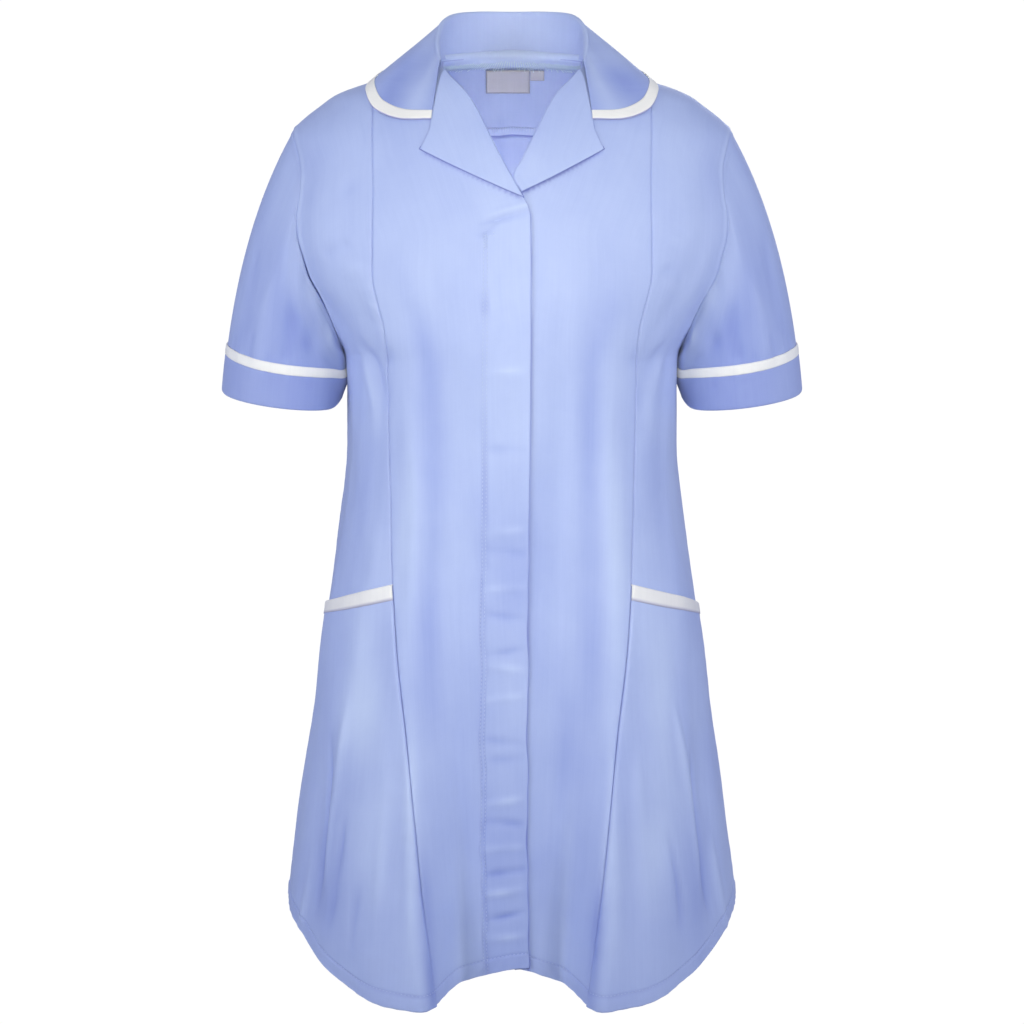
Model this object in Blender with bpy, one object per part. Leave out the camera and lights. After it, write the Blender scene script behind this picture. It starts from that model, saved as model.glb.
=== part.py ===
"""Maternity tunic: short sleeves, turned lapels and collar, white trim, filled out as if worn but with nobody in it.

Every piece is one wall of cloth, cut and seamed as a maker would. Sizes are in millimetres until MM turns them
into metres. X runs to the viewer's right as the tunic faces them, -Y is the front and +Z is up. The origin lies
between the neck ends of the shoulder seams, where the wearer's shoulders hold the tunic.

Places on the body are given as a turn and a drop. The turn goes round the body in degrees: 0 is the centre front,
90 the side and 180 the centre back. The drop is the distance below the origin.
"""

import math

import bmesh
import bpy
import numpy as np

MM = 0.001
WALL = 1.5
TRIM_WALL = 2.1
SEAM = 0.3
LAYER = WALL + SEAM

# Rows of the lattice that all the body's panels share
UNDERARM_ROW = 12
HEM_ROW = 27
YOKE_ROW = 4
UNDERARM_DROP = 256.0

# The closing: how deep the lower front dips beneath the upper one, over which share of its width it comes up again,
# and the drops between which the dip begins
UNDERLAP_DIP = WALL + SEAM + 0.5
UNDERLAP_SHARE = (0.40, 0.54)
UNDERLAP_BEGINS = (70.0, 95.0)

# Where the columns of a panel stand, as shares of its width from its first edge
FRONT_COLUMNS = (0.0, 0.12, 0.26, 0.40, 0.54, 0.66, 0.77, 0.88, 1.0)
SIDE_COLUMNS = (0.0, 0.04, 0.09, 0.16, 0.26, 0.38, 0.52, 0.67, 0.83, 1.0)
BACK_COLUMNS = (0.0, 0.2, 0.4, 0.6, 0.8, 1.0)

# The sleeve's top edge stands off the armhole, and less within so many places of the underarm
CUFF_DEPTH = 29.0
CUFF_TRIM_WIDTH = 8.5
CUFF_FOLD = 0.8
SLEEVE_ROWS = 7
ARMHOLE_GAP = 2.3
UNDERARM_GAP = 0.4
UNDERARM_REACH = 2.5

# The pocket's mouth falls from its first drop at the princess seam to its second at the side seam. It gapes most at
# its middle, and the gape dies away over a distance below it.
POCKET_TRIM_WIDTH = 10.0
POCKET_MOUTH = (454.5, 493.5)
POCKET_MOUTH_GAP = 2.2
POCKET_GAPE_FADE = 40.0
POCKET_ROW = 20

LAPEL_ROWS = 10
LAPEL_COLUMNS = 5

# The collar's fold is round, with this radius, and its fall ends in the binding a little off the body
COLLAR_FOLD = 2.6
COLLAR_LIFT = 1.2
COLLAR_EDGE_LIFT = 0.5
COLLAR_FALL = 72.0
COLLAR_BINDING_WIDTH = 8.5
COLLAR_COLUMNS = 33
COLLAR_ROWS = (0, 0.5, 1.0, 1.33, 1.67, 2.0, 2.2, 2.42, 2.65)

# The overlocked strip inside the neck takes this stretch of the yoke's lattice
NAPE_ROWS = (0.04, 1.0)
NAPE_COLUMNS = slice(5, 16)

LABEL_SLACK = 0.6
LABEL_SIDES = (-24.0, 16.4)
LABEL_DROPS = (10.6, 31.5)
SIZE_TAB_SIDES = (16.8, 29.6)
SIZE_TAB_DROPS = (10.6, 19.8)


def table(columns, *rows):
    """The rows as one array for each named column."""
    return {name: np.array(values, float) for name, values in zip(columns.split(), zip(*rows))}


# Level rings round the body. A curve of 1 makes an ellipse, and less makes the ring squarer.
RINGS = table(
    "drop half_width front back curve",
    (-6, 42, 20, 63, 1.00),
    (3, 62, 28, 64, 0.95),
    (9, 84, 36, 67, 0.90),
    (20, 120, 47, 73, 0.85),
    (31, 152, 57, 78, 0.83),
    (43, 170.5, 66, 83, 0.82),
    (62, 192.5, 79, 88, 0.80),
    (92, 200, 94, 94, 0.80),
    (120, 206, 104, 98, 0.80),
    (155, 208, 113, 101, 0.80),
    (190, 194, 119, 102, 0.80),
    (220, 171, 122, 101, 0.80),
    (240, 159, 123, 99, 0.80),
    (256, 150, 122.5, 97, 0.80),
    (275, 148.1, 121.5, 95.3, 0.81),
    (315, 148, 119, 92, 0.82),
    (378, 151, 118, 89, 0.84),
    (434, 159, 120, 92, 0.85),
    (500, 169.5, 130, 101, 0.87),
    (600, 183, 150, 119, 0.92),
    (700, 198.5, 171, 137, 0.97),
    (784, 208.5, 188, 153, 1.00),
    (816, 210, 194, 158, 1.00),
)

# The front falls in two flutes below the waist, with the centre panel standing back between them
CENTRE_HOLLOW = table(
    "drop depth inner outer",
    (400, 0, 46, 100),
    (500, 7, 46, 98),
    (600, 21, 45, 93),
    (700, 38, 43, 87),
    (816, 59, 42, 82),
)

# The main folds: where each starts and ends, its half width in degrees of turn and how far it stands out (mm)
FOLDS = table(
    "top_turn top low_turn low width rise",
    (38, 215, 27, 640, 7.0, 4.5),
    (18, 230, 14, 560, 7.0, -3.0),
    (66, 560, 60, 980, 7.0, -6.0),
    (47, 700, 44, 990, 5.0, -2.5),
    (104, 520, 110, 980, 9.0, -7.0),
    (134, 300, 140, 980, 10.0, 8.0),
    (180, 330, 180, 980, 13.0, -9.0),
    (158, 420, 160, 980, 9.0, 4.0),
)
# A fold comes up, and dies away, over its length divided by this
FOLD_FADE = 2.2

# Drop of each lattice row at the neck or front edge, princess seam, armhole, back below the neck, centre back
ROWS = table(
    "front princess side nape_turn nape back",
    (3, 20, 62, 90, 3, -1),
    (6, 24, 65.5, 104, 12, 8.5),
    (13, 31, 72, 115, 27, 23),
    (22, 41, 83, 124, 50, 46),
    (32, 53, 99, 132, 83, 72),
    (45, 69, 118, 134, 97, 84),
    (65, 88, 138, 135, 113, 97),
    (83, 110, 158, 135, 135, 121),
    (100, 134, 178, 135, 158, 146),
    (126, 160, 198, 135, 182, 172),
    (168, 190, 218, 135, 207, 200),
    (212, 222, 240, 135, 232, 228),
    (256, 256, 256, 135, 256, 256),
)
HEM = {"front": 794.0, "princess": 817.0, "side": 770.0, "nape": 780.0, "back": 784.0}
# The shares of a panel's width over which the hem falls to the princess seam, and rises again to the side
HEM_FALL = (0.05, 1.45)
HEM_RISE = (0.17, 0.92)

# Half widths along three lines of the fronts, by drop. Past the centre, the front edge is below zero.
FRONT_EDGE = table(
    "drop x",
    (3, 62),
    (8, 61),
    (19, 52),
    (30, 40.5),
    (43, 31.5),
    (65, 20),
    (83, 10.3),
    (100, 0.5),
    (112, -7),
    (126, -14),
    (140, -15),
    (160, -15.2),
    (240, -15.2),
    (320, -14.6),
    (435, -13.5),
    (600, -12.6),
    (700, -12.8),
    (820, -15),
)
PRINCESS = table(
    "drop x",
    (20, 120),
    (52, 120.3),
    (110, 119.3),
    (160, 119.7),
    (190, 119),
    (209, 114.5),
    (226, 110.5),
    (287, 108),
    (374, 106),
    (448, 104.5),
    (530, 97.5),
    (600, 90.5),
    (660, 85),
    (720, 79),
    (764, 73),
    (820, 66),
)
ARMHOLE = table(
    "drop x",
    (62, 192.5),
    (76, 188),
    (92, 184),
    (117, 184.5),
    (134, 187),
    (155, 186),
    (169, 182),
    (189, 176),
    (203, 168.5),
    (220, 161),
    (240, 154),
    (256, 150),
)

# The lapels from the neck down to their tips: the roll line of the upper front's, that of the lower front's, which
# stops at the upper one, and the outer edge
LAPEL = table(
    "roll_drop roll_x beneath_drop beneath_x outer_drop outer_x",
    (12, 58.5, 12, 58.5, 16, 61.5),
    (19, 52, 19, 52, 32, 64.8),
    (30, 40.5, 30, 40.5, 44, 67.2),
    (43, 31.5, 43, 31.5, 51, 68.6),
    (65, 20, 65, 20, 60, 70),
    (83, 10.3, 83, 10.3, 67, 73),
    (100, 0.5, 98, 2.5, 73, 76),
    (114, -7.5, 110, 9.0, 76, 77.5),
)

# The collar from its front end to the centre back: the neck seam that it stands on, the top of its fold, its outer
# edge on the body, and how far the fall bows out between the two
COLLAR = table(
    "neck_turn neck roll_x roll_y roll edge_turn edge bow",
    (52, 8, 62.5, -28, 1, 22.3, 51, 8),
    (60, 6.5, 64, -17, -5, 32.0, 51, 8),
    (74, 4.5, 65, -7, -12, 42.5, 44, 7),
    (94, 3, 65, 6, -21, 57, 30, 6),
    (112, 2.5, 61.5, 22, -31, 84, 20, 5),
    (132, 1.5, 51.5, 41, -38, 112, 20, 4),
    (156, 0, 31, 60, -40, 143, 25, 3),
    (180, -1, 0, 68, -40, 180, 29, 3),
)
# The columns that go on past the centre back, where the others turn level
COLLAR_CROSSING = ("neck_turn", "roll_x", "edge_turn")

# The hem of a sleeve and the way its cloth leaves the armhole and reaches the hem
SLEEVE_HEM = {"x": 207.5, "y": -2.0, "drop": 301.0, "across": 53.0, "deep": 61.0, "tilt": 7.0}
SLEEVE_LEAVES = {"top": (0.50, 0.0, -0.84), "front": (0.30, -0.22, -0.93), "under": (0.10, 0.0, -0.995)}
SLEEVE_ENDS = (0.10, 0.0, -0.99)
# Below the shoulder the sleeve's top edge steps out from the body, over this share of the armhole's height
SLEEVE_STEP_OUT = 1.9
SLEEVE_STEP_SHARE = 0.625

PALE_BLUE = (0.41, 0.50, 0.79)
PALE_BLUE_INSIDE = (0.37, 0.46, 0.75)
WHITE = (0.86, 0.87, 0.90)
LABEL_GREY = (0.50, 0.48, 0.52)
CLOTH_ROUGHNESS = 0.75
TRIM_ROUGHNESS = 0.6


def smooth(stops, values, at):
    """Value at each place on a smooth line through the stops, held level past their ends."""
    slope = np.gradient(values, stops)
    at = np.clip(at, stops[0], stops[-1])
    left = np.clip(np.searchsorted(stops, at, side="right") - 1, 0, len(stops) - 2)
    width = stops[left + 1] - stops[left]
    share = (at - stops[left]) / width
    rise = share * share * (3 - 2 * share)
    lead_in = share * (1 - share) ** 2 * slope[left]
    lead_out = share * share * (1 - share) * slope[left + 1]
    return values[left] + rise * (values[left + 1] - values[left]) + width * (lead_in - lead_out)


def step(share):
    """0 up to 0 and 1 from 1, and smooth between them."""
    share = np.clip(share, 0, 1)
    return share * share * (3 - 2 * share)


def ring(column, drop):
    return smooth(RINGS["drop"], RINGS[column], drop)


def centre_hollow(x, drop):
    """How far the centre panel stands back from the flutes at its sides."""
    depth = np.maximum(smooth(CENTRE_HOLLOW["drop"], CENTRE_HOLLOW["depth"], drop), 0)
    inner = smooth(CENTRE_HOLLOW["drop"], CENTRE_HOLLOW["inner"], drop)
    outer = smooth(CENTRE_HOLLOW["drop"], CENTRE_HOLLOW["outer"], drop)
    return depth * (1 - step((np.abs(x) - inner) / (outer - inner)))


def folds(turn, drop):
    """How far the folds push the cloth out at a place."""
    out = np.zeros(np.broadcast(turn, drop).shape)
    for top_turn, top, low_turn, low, width, rise in zip(*FOLDS.values()):
        along = (drop - top) / (low - top)
        middle = top_turn + (low_turn - top_turn) * along
        strength = step(along * FOLD_FADE) * step((1 - along) * FOLD_FADE)
        out = out + rise * strength * np.exp(-(((np.abs(turn) - middle) / width) ** 2))
    return out


def body(turn, drop):
    """Place of the body's cloth."""
    angle = np.radians(turn)
    across = np.sin(angle)
    ahead = np.cos(angle)
    depth = np.abs(ahead) ** ring("curve", drop)
    x = ring("half_width", drop) * across
    y = np.where(ahead > 0, -ring("front", drop) * depth + centre_hollow(x, drop), ring("back", drop) * depth)
    fold = folds(turn, drop)
    return np.stack([x + fold * across, y - fold * ahead, -drop + 0 * x], axis=-1)


def facing(surface, along, down):
    """Which way a surface faces at each place, outwards."""
    nudge = 0.02
    across = surface(along + nudge, down) - surface(along - nudge, down)
    lower = surface(along, down + nudge) - surface(along, down - nudge)
    outward = np.cross(lower, across)
    return outward / np.linalg.norm(outward, axis=-1, keepdims=True)


def turn_at(x, drop):
    """The turn at which the body is this wide from its centre line."""
    return np.degrees(np.arcsin(np.clip(x / ring("half_width", drop), -1, 1)))


def row_drop(name, row):
    """Drop of a lattice row along a line. Below the underarm the rows are even."""
    lower = UNDERARM_DROP + (row - UNDERARM_ROW) * (HEM[name] - UNDERARM_DROP) / (HEM_ROW - UNDERARM_ROW)
    return np.where(row <= UNDERARM_ROW, np.interp(row, range(UNDERARM_ROW + 1), ROWS[name]), lower)


def front_edge(row):
    drop = row_drop("front", row)
    return turn_at(smooth(FRONT_EDGE["drop"], FRONT_EDGE["x"], drop), drop), drop


def princess_seam(row):
    drop = row_drop("princess", row)
    return turn_at(smooth(PRINCESS["drop"], PRINCESS["x"], drop), drop), drop


def side_seam(row):
    """The armhole, and below it the side seam."""
    drop = row_drop("side", row)
    armhole = turn_at(smooth(ARMHOLE["drop"], ARMHOLE["x"], drop), drop)
    return np.where(drop < UNDERARM_DROP, armhole, 90.0), drop


def back_edge(row):
    """The side seam and the back of the armhole, which mirrors the front of it."""
    turn, drop = side_seam(row)
    return 180 - turn, drop


def nape_line(row):
    return np.interp(row, range(UNDERARM_ROW + 1), ROWS["nape_turn"]), row_drop("nape", row)


def centre_back(row):
    return np.full(len(row), 180.0), row_drop("back", row)


def between(first, last, rows, shares):
    """Turns and drops of a panel's grid, ruled from one line of the lattice to another."""
    first_turn, first_drop = first(rows)
    last_turn, last_drop = last(rows)
    shares = np.asarray(shares)[None, :]
    turn = first_turn[:, None] + shares * (last_turn - first_turn)[:, None]
    drop = first_drop[:, None] + shares * (last_drop - first_drop)[:, None]
    return turn, drop


def curved_hem(first, last, rows, shares, bend):
    """Turns and drops of a panel whose rows below the underarm pass from one line to another in a soft curve."""
    turn, drop = between(first, last, rows, shares)
    shares = np.array(shares)
    curve = step((shares - bend[0]) / (bend[1] - bend[0]))
    curve = curve / curve[-1]
    fall = (last(rows)[1] - first(rows)[1]) * (rows > UNDERARM_ROW)
    return turn, drop + fall[:, None] * (curve - shares)


def side_front_grid(rows):
    return curved_hem(princess_seam, side_seam, rows, SIDE_COLUMNS, HEM_RISE)


def drawn_in(points, closed):
    """The grid with its seamed edges drawn in by half of the gap between two pieces."""
    points = points.copy()
    edges = [points, points[::-1]]
    if not closed:
        sideways = points.swapaxes(0, 1)
        edges += [sideways, sideways[::-1]]
    for rows in edges:
        inward = rows[1] - rows[0]
        rows[0] += SEAM / 2 * inward / np.linalg.norm(inward, axis=-1, keepdims=True)
    return points


def skin(mesh, points):
    """One side of a piece of cloth, as rows of vertices."""
    rows, columns = points.shape[:2]
    made = bmesh.ops.create_grid(mesh, x_segments=columns - 1, y_segments=rows - 1, size=0.5)
    for vertex, place in zip(made["verts"], points.reshape(-1, 3)):
        vertex.co = place * MM
    return [made["verts"][row * columns : (row + 1) * columns] for row in range(rows)]


def hem_faces(mesh, outer, inner):
    """Closes the wall along one edge."""
    for index in range(len(outer) - 1):
        mesh.faces.new((outer[index], outer[index + 1], inner[index + 1], inner[index]))


def cloth(name, points, outward, finish, wall=WALL, closed=False):
    """A piece of cloth: a wall centred on a grid of points, closed on itself when it is a tube."""
    points = drawn_in(points, closed)
    mesh = bmesh.new()
    outer = skin(mesh, points + outward * wall / 2)
    inner = skin(mesh, points - outward * wall / 2)
    hem_faces(mesh, outer[0], inner[0])
    hem_faces(mesh, outer[-1], inner[-1])
    if not closed:
        hem_faces(mesh, [row[0] for row in outer], [row[0] for row in inner])
        hem_faces(mesh, [row[-1] for row in outer], [row[-1] for row in inner])
    bmesh.ops.remove_doubles(mesh, verts=mesh.verts, dist=1e-6)
    bmesh.ops.recalc_face_normals(mesh, faces=mesh.faces)
    data = bpy.data.meshes.new(name)
    mesh.to_mesh(data)
    mesh.free()
    data.shade_smooth()
    data.set_sharp_from_angle(angle=math.radians(40))
    data.materials.append(finish)
    piece = bpy.data.objects.new(name, data)
    bpy.context.collection.objects.link(piece)
    return piece


def on_body(name, turn, drop, side, finish, out=0.0, wall=WALL):
    """A piece of cloth that lies on the body's form, moved out by so much."""
    turn = turn * side
    outward = facing(body, turn, drop)
    out = np.asarray(out)
    points = body(turn, drop) + outward * (out[..., None] if out.ndim else out)
    return cloth(name, points, outward, finish, wall)


def finish(name, colour, roughness=CLOTH_ROUGHNESS):
    made = bpy.data.materials.new(name)
    made.use_nodes = True
    shader = made.node_tree.nodes["Principled BSDF"]
    shader.inputs["Base Color"].default_value = (*colour, 1.0)
    shader.inputs["Roughness"].default_value = roughness
    shader.inputs["Metallic"].default_value = 0.0
    made.diffuse_color = (*colour, 1.0)
    return made


def side_name(side):
    """The wearer's right is on the viewer's left."""
    return "right" if side < 0 else "left"


def front(side):
    """One front, from its closing edge and roll line to the princess seam. The wearer's right one lies on top."""
    rows = np.arange(HEM_ROW + 1.0)
    turn, drop = curved_hem(front_edge, princess_seam, rows, FRONT_COLUMNS, HEM_FALL)
    start, end = UNDERLAP_SHARE
    beneath = 1 - step((np.array(FRONT_COLUMNS) - start) / (end - start))
    top, whole = UNDERLAP_BEGINS
    dip = UNDERLAP_DIP * beneath * step((drop - top) / (whole - top)) * (side > 0)
    name = f"front_{side_name(side)}"
    return on_body(name, turn, drop, side, finish(name, PALE_BLUE), -dip)


def side_front(side):
    rows = np.arange(HEM_ROW + 1.0)
    turn, drop = side_front_grid(rows)
    name = f"side_front_{side_name(side)}"
    return on_body(name, turn, drop, side, finish(name, PALE_BLUE))


def back_grid(rows):
    """Turns and drops right across the back, from the wearer's left side to the right one."""
    outer_turn, outer_drop = between(back_edge, nape_line, rows, BACK_COLUMNS)
    inner_turn, inner_drop = between(nape_line, centre_back, rows, BACK_COLUMNS)
    turn = np.hstack([outer_turn, inner_turn[:, 1:]])
    drop = np.hstack([outer_drop, inner_drop[:, 1:]])
    far_turn = 360 - turn[:, -2::-1]
    return np.hstack([turn, far_turn]), np.hstack([drop, drop[:, -2::-1]])


def back_yoke():
    turn, drop = back_grid(np.arange(YOKE_ROW + 1.0))
    return on_body("back_yoke", turn, drop, 1, finish("back_yoke", PALE_BLUE_INSIDE))


def back_body():
    turn, drop = back_grid(np.arange(float(YOKE_ROW), HEM_ROW + 1.0))
    return on_body("back_body", turn, drop, 1, finish("back_body", PALE_BLUE_INSIDE))


def armhole_loop(place):
    """Points round an armhole: 0 is the shoulder point, then down the front to the underarm and up the back."""
    place = np.mod(place, 2 * UNDERARM_ROW)
    behind = place > UNDERARM_ROW
    turn, drop = side_seam(np.where(behind, 2 * UNDERARM_ROW - place, place))
    return body(np.where(behind, 180 - turn, turn), drop)


def sleeve_surface(place, share):
    """The wearer's left sleeve: place goes round it from the shoulder point, share down it from 0 to 1."""
    angle = np.pi * place / UNDERARM_ROW
    top = 0.5 + 0.5 * np.cos(angle)
    start = armhole_loop(place)
    start[..., 0] += SLEEVE_STEP_OUT * (1 - step(top / SLEEVE_STEP_SHARE))
    hem = SLEEVE_HEM
    end = np.stack(
        [
            hem["x"] + hem["across"] * np.cos(angle),
            hem["y"] - hem["deep"] * np.sin(angle),
            -hem["drop"] + hem["tilt"] * np.cos(angle),
        ],
        axis=-1,
    )
    weight = np.stack([step(2 * top - 1), 1 - step(np.abs(2 * top - 1)), step(1 - 2 * top)], axis=-1)
    forward = np.sign(np.sin(angle))
    ways = [np.array(SLEEVE_LEAVES[name]) for name in ("top", "front", "under")]
    leave = sum(weight[..., index, None] * way for index, way in enumerate(ways))
    leave[..., 1] *= forward
    reach = np.linalg.norm(end - start, axis=-1, keepdims=True)
    arrive = np.array(SLEEVE_ENDS) * reach
    leave = leave * reach
    share = np.asarray(share)[..., None]
    rise = share * share * (3 - 2 * share)
    bend = share * (1 - share) ** 2 * leave - share * share * (1 - share) * arrive
    return start + rise * (end - start) + bend


def sleeve_share(place, above_hem):
    """The share down the sleeve that lies so far above its hem."""
    reach = np.linalg.norm(sleeve_surface(place, 1 + 0 * place) - sleeve_surface(place, 0 * place), axis=-1)
    return 1 - above_hem / reach


def sleeve_piece(name, side, place, share, tint, out=0.0, wall=WALL):
    points = sleeve_surface(place, share)
    outward = facing(sleeve_surface, place, share)
    middle = sleeve_surface(place, share).mean(axis=1, keepdims=True)
    outward = outward * np.sign(np.sum(outward * (points - middle)))
    points = points + outward * out
    for array in (points, outward):
        array[..., 0] *= side
    return cloth(name, points, outward, finish(name, tint), wall, closed=True)


def sleeve(side):
    """A sleeve with its turned cuff and the white trim along the cuff's top."""
    ends = side_name(side)
    around = np.arange(2 * UNDERARM_ROW + 1.0)
    trim_top = sleeve_share(around, CUFF_DEPTH + CUFF_TRIM_WIDTH)
    cuff_top = sleeve_share(around, CUFF_DEPTH)
    whole = np.array([trim_top * row / SLEEVE_ROWS for row in range(SLEEVE_ROWS + 1)] + [cuff_top, 1 + 0 * around])
    beneath = step(UNDERARM_REACH - np.abs(around - UNDERARM_ROW))
    whole[0] = 1 - sleeve_share(around, ARMHOLE_GAP + beneath * (UNDERARM_GAP - ARMHOLE_GAP))
    whole[-1] = sleeve_share(around, CUFF_FOLD)
    grid = np.broadcast_to(around, whole.shape)
    pieces = [sleeve_piece(f"sleeve_{ends}", side, grid, whole, PALE_BLUE)]
    trim = np.array([trim_top, cuff_top])
    grid = np.broadcast_to(around, trim.shape)
    out = SEAM + (WALL + TRIM_WALL) / 2
    pieces.append(sleeve_piece(f"cuff_trim_{ends}", side, grid, trim, WHITE, out, TRIM_WALL))
    cuff = np.array([cuff_top, 1 + 0 * around])
    pieces.append(sleeve_piece(f"cuff_{ends}", side, grid, cuff, PALE_BLUE, LAYER))
    return pieces


def lapel(side):
    """The turned front facing, flat on the front from the roll line to its outer edge."""
    rows = np.linspace(0, len(LAPEL["roll_x"]) - 1, LAPEL_ROWS)
    ends = []
    for edge in ("roll" if side < 0 else "beneath", "outer"):
        places = np.arange(float(len(LAPEL["roll_x"])))
        drop = smooth(places, LAPEL[f"{edge}_drop"], rows)
        ends.append((turn_at(smooth(places, LAPEL[f"{edge}_x"], rows), drop), drop))
    turn, drop = between(lambda row: ends[0], lambda row: ends[1], rows, np.linspace(0, 1, LAPEL_COLUMNS))
    name = f"lapel_{side_name(side)}"
    return on_body(name, turn, drop, side, finish(name, PALE_BLUE), LAYER)


def pocket(side):
    """A pocket panel from its mouth to the hem, over the side front, and the white trim along its mouth."""
    turn, drop = side_front_grid(np.arange(float(POCKET_ROW), HEM_ROW + 1.0))
    shares = np.array(SIDE_COLUMNS)
    mouth = POCKET_MOUTH[0] + shares * (POCKET_MOUTH[1] - POCKET_MOUTH[0])

    def strip(drops):
        """Turns at drops that the lattice has no row for."""
        inner = turn_at(smooth(PRINCESS["drop"], PRINCESS["x"], drops), drops)
        return inner + shares * (90 - inner)

    top = mouth + POCKET_TRIM_WIDTH
    middle = (top + drop[0]) / 2
    all_drops = np.vstack([top, middle, drop])
    all_turns = np.vstack([strip(top), strip(middle), turn])

    def stand_off(drops):
        """How far the pocket's mouth gapes from the side front."""
        return POCKET_MOUTH_GAP * np.sin(np.pi * shares) * np.exp(-(drops - mouth) / POCKET_GAPE_FADE)

    name = f"pocket_{side_name(side)}"
    out = LAYER + stand_off(all_drops)
    pieces = [on_body(name, all_turns, all_drops, side, finish(name, PALE_BLUE), out)]
    trim_drops = np.vstack([mouth, top])
    trim_turns = np.vstack([strip(mouth), strip(top)])
    name = f"pocket_trim_{side_name(side)}"
    out = SEAM + (WALL + TRIM_WALL) / 2 + stand_off(trim_drops)
    pieces.append(on_body(name, trim_turns, trim_drops, side, finish(name, WHITE, TRIM_ROUGHNESS), out, TRIM_WALL))
    return pieces


def collar_column(column, place):
    """A collar size at a place: 0 is the centre back, 7 the wearer's left front end and -7 the right one."""
    sizes = COLLAR[column]
    beyond = 2 * sizes[-1] - sizes[-2] if column in COLLAR_CROSSING else sizes[-2]
    return smooth(np.arange(len(sizes) + 1.0), np.append(sizes, beyond), len(sizes) - 1 - np.abs(place))


def collar_surface(place, across):
    """The collar: place runs round the neck with 0 at the back, across goes from the neck seam to the edge.

    Across is 0 to 1 up the stand, 1 to 2 over the fold and 2 to 3 down the fall.
    """
    side = np.where(place < 0, -1.0, 1.0)
    neck = body(side * collar_column("neck_turn", place), collar_column("neck", place))
    neck[..., 2] += COLLAR_LIFT
    edge_turn = side * collar_column("edge_turn", place)
    edge_drop = collar_column("edge", place)
    edge = body(edge_turn, edge_drop) + facing(body, edge_turn, edge_drop) * (LAYER + COLLAR_EDGE_LIFT)
    roll = np.stack(
        [side * collar_column("roll_x", place), collar_column("roll_y", place), -collar_column("roll", place)],
        axis=-1,
    )
    outward = edge - roll
    outward[..., 2] = 0
    outward = outward / np.linalg.norm(outward, axis=-1, keepdims=True)
    up = np.array([0.0, 0.0, 1.0])
    heart = roll - COLLAR_FOLD * up
    over = np.pi * np.clip(across - 1, 0, 1)[..., None]
    fold = heart + COLLAR_FOLD * (np.sin(over) * up - np.cos(over) * outward)
    stand_share = np.clip(across, 0, 1)[..., None]
    fall_share = np.clip(across - 2, 0, 1)[..., None]
    stand = neck + stand_share * (heart - COLLAR_FOLD * outward - neck)
    bow = collar_column("bow", place)[..., None] * np.sin(np.pi * fall_share) * (outward + up) * math.sqrt(0.5)
    fall = heart + COLLAR_FOLD * outward + fall_share * (edge - heart - COLLAR_FOLD * outward) + bow
    across = across[..., None]
    return np.where(across < 1, stand, np.where(across <= 2, fold, fall))


def collar():
    """The collar, folded in one from its stand to its fall, and the white binding round the fall's edge."""
    reach = len(COLLAR["neck"]) - 1
    places = np.linspace(-reach, reach, COLLAR_COLUMNS)[None, :]
    bound = 3 - COLLAR_BINDING_WIDTH / COLLAR_FALL
    across = np.array([*COLLAR_ROWS, bound])[:, None]
    place, across = np.broadcast_arrays(places, across)
    points = collar_surface(place, across)
    outward = -facing(collar_surface, place, across)
    pieces = [cloth("collar", points, outward, finish("collar", PALE_BLUE))]
    place, across = np.broadcast_arrays(places, np.array([bound, 3.0])[:, None])
    points = collar_surface(place, across)
    outward = -facing(collar_surface, place, across)
    pieces.append(cloth("collar_binding", points, outward, finish("collar_binding", WHITE, TRIM_ROUGHNESS), TRIM_WALL))
    return pieces


def neck_seam():
    """The overlocked seam allowance of the collar, pressed down inside the back of the neck."""
    turn, drop = back_grid(np.array(NAPE_ROWS))
    turn, drop = turn[:, NAPE_COLUMNS], drop[:, NAPE_COLUMNS]
    return on_body("neck_seam", turn, drop, 1, finish("neck_seam", PALE_BLUE_INSIDE), -LAYER)


def neck_label(name, sides, drops):
    """A blank label inside the back of the neck, between two distances from its centre."""
    x, drop = np.meshgrid(np.linspace(*sides, num=4), np.linspace(*drops, num=3))
    turn = 180 - turn_at(x, drop)
    return on_body(name, turn, drop, 1, finish(name, LABEL_GREY), -LAYER - LABEL_SLACK)


def main():
    for thing in list(bpy.data.objects):
        bpy.data.objects.remove(thing)
    for side in (-1, 1):
        front(side)
        side_front(side)
        sleeve(side)
        lapel(side)
        pocket(side)
    back_yoke()
    back_body()
    collar()
    neck_seam()
    neck_label("neck_label", LABEL_SIDES, LABEL_DROPS)
    neck_label("size_tab", SIZE_TAB_SIDES, SIZE_TAB_DROPS)


main()
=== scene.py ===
"""Looks of a short-sleeved maternity tunic in pale blue poly-cotton with white trim, filled out as if worn.

Every panel is a thin sheet of cloth that lies on the same worn form as its solid. The form, the seam lines
and the folds are worked out here from the same tables, at a finer pitch. Each sheet then gets its turned
edges, seams, creases and stitches. Sizes are in millimetres until MM turns them into metres.

Places on the body are given as a turn and a drop. The turn goes round the body in degrees: 0 is the centre
front, 90 the side and 180 the centre back. The drop is the distance below the origin, which lies at the neck.
"""

import logging
import math
from collections.abc import Callable
from dataclasses import dataclass, field
from enum import Enum

import bmesh
import bpy
import numpy as np
from mathutils import Matrix, Vector


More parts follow.
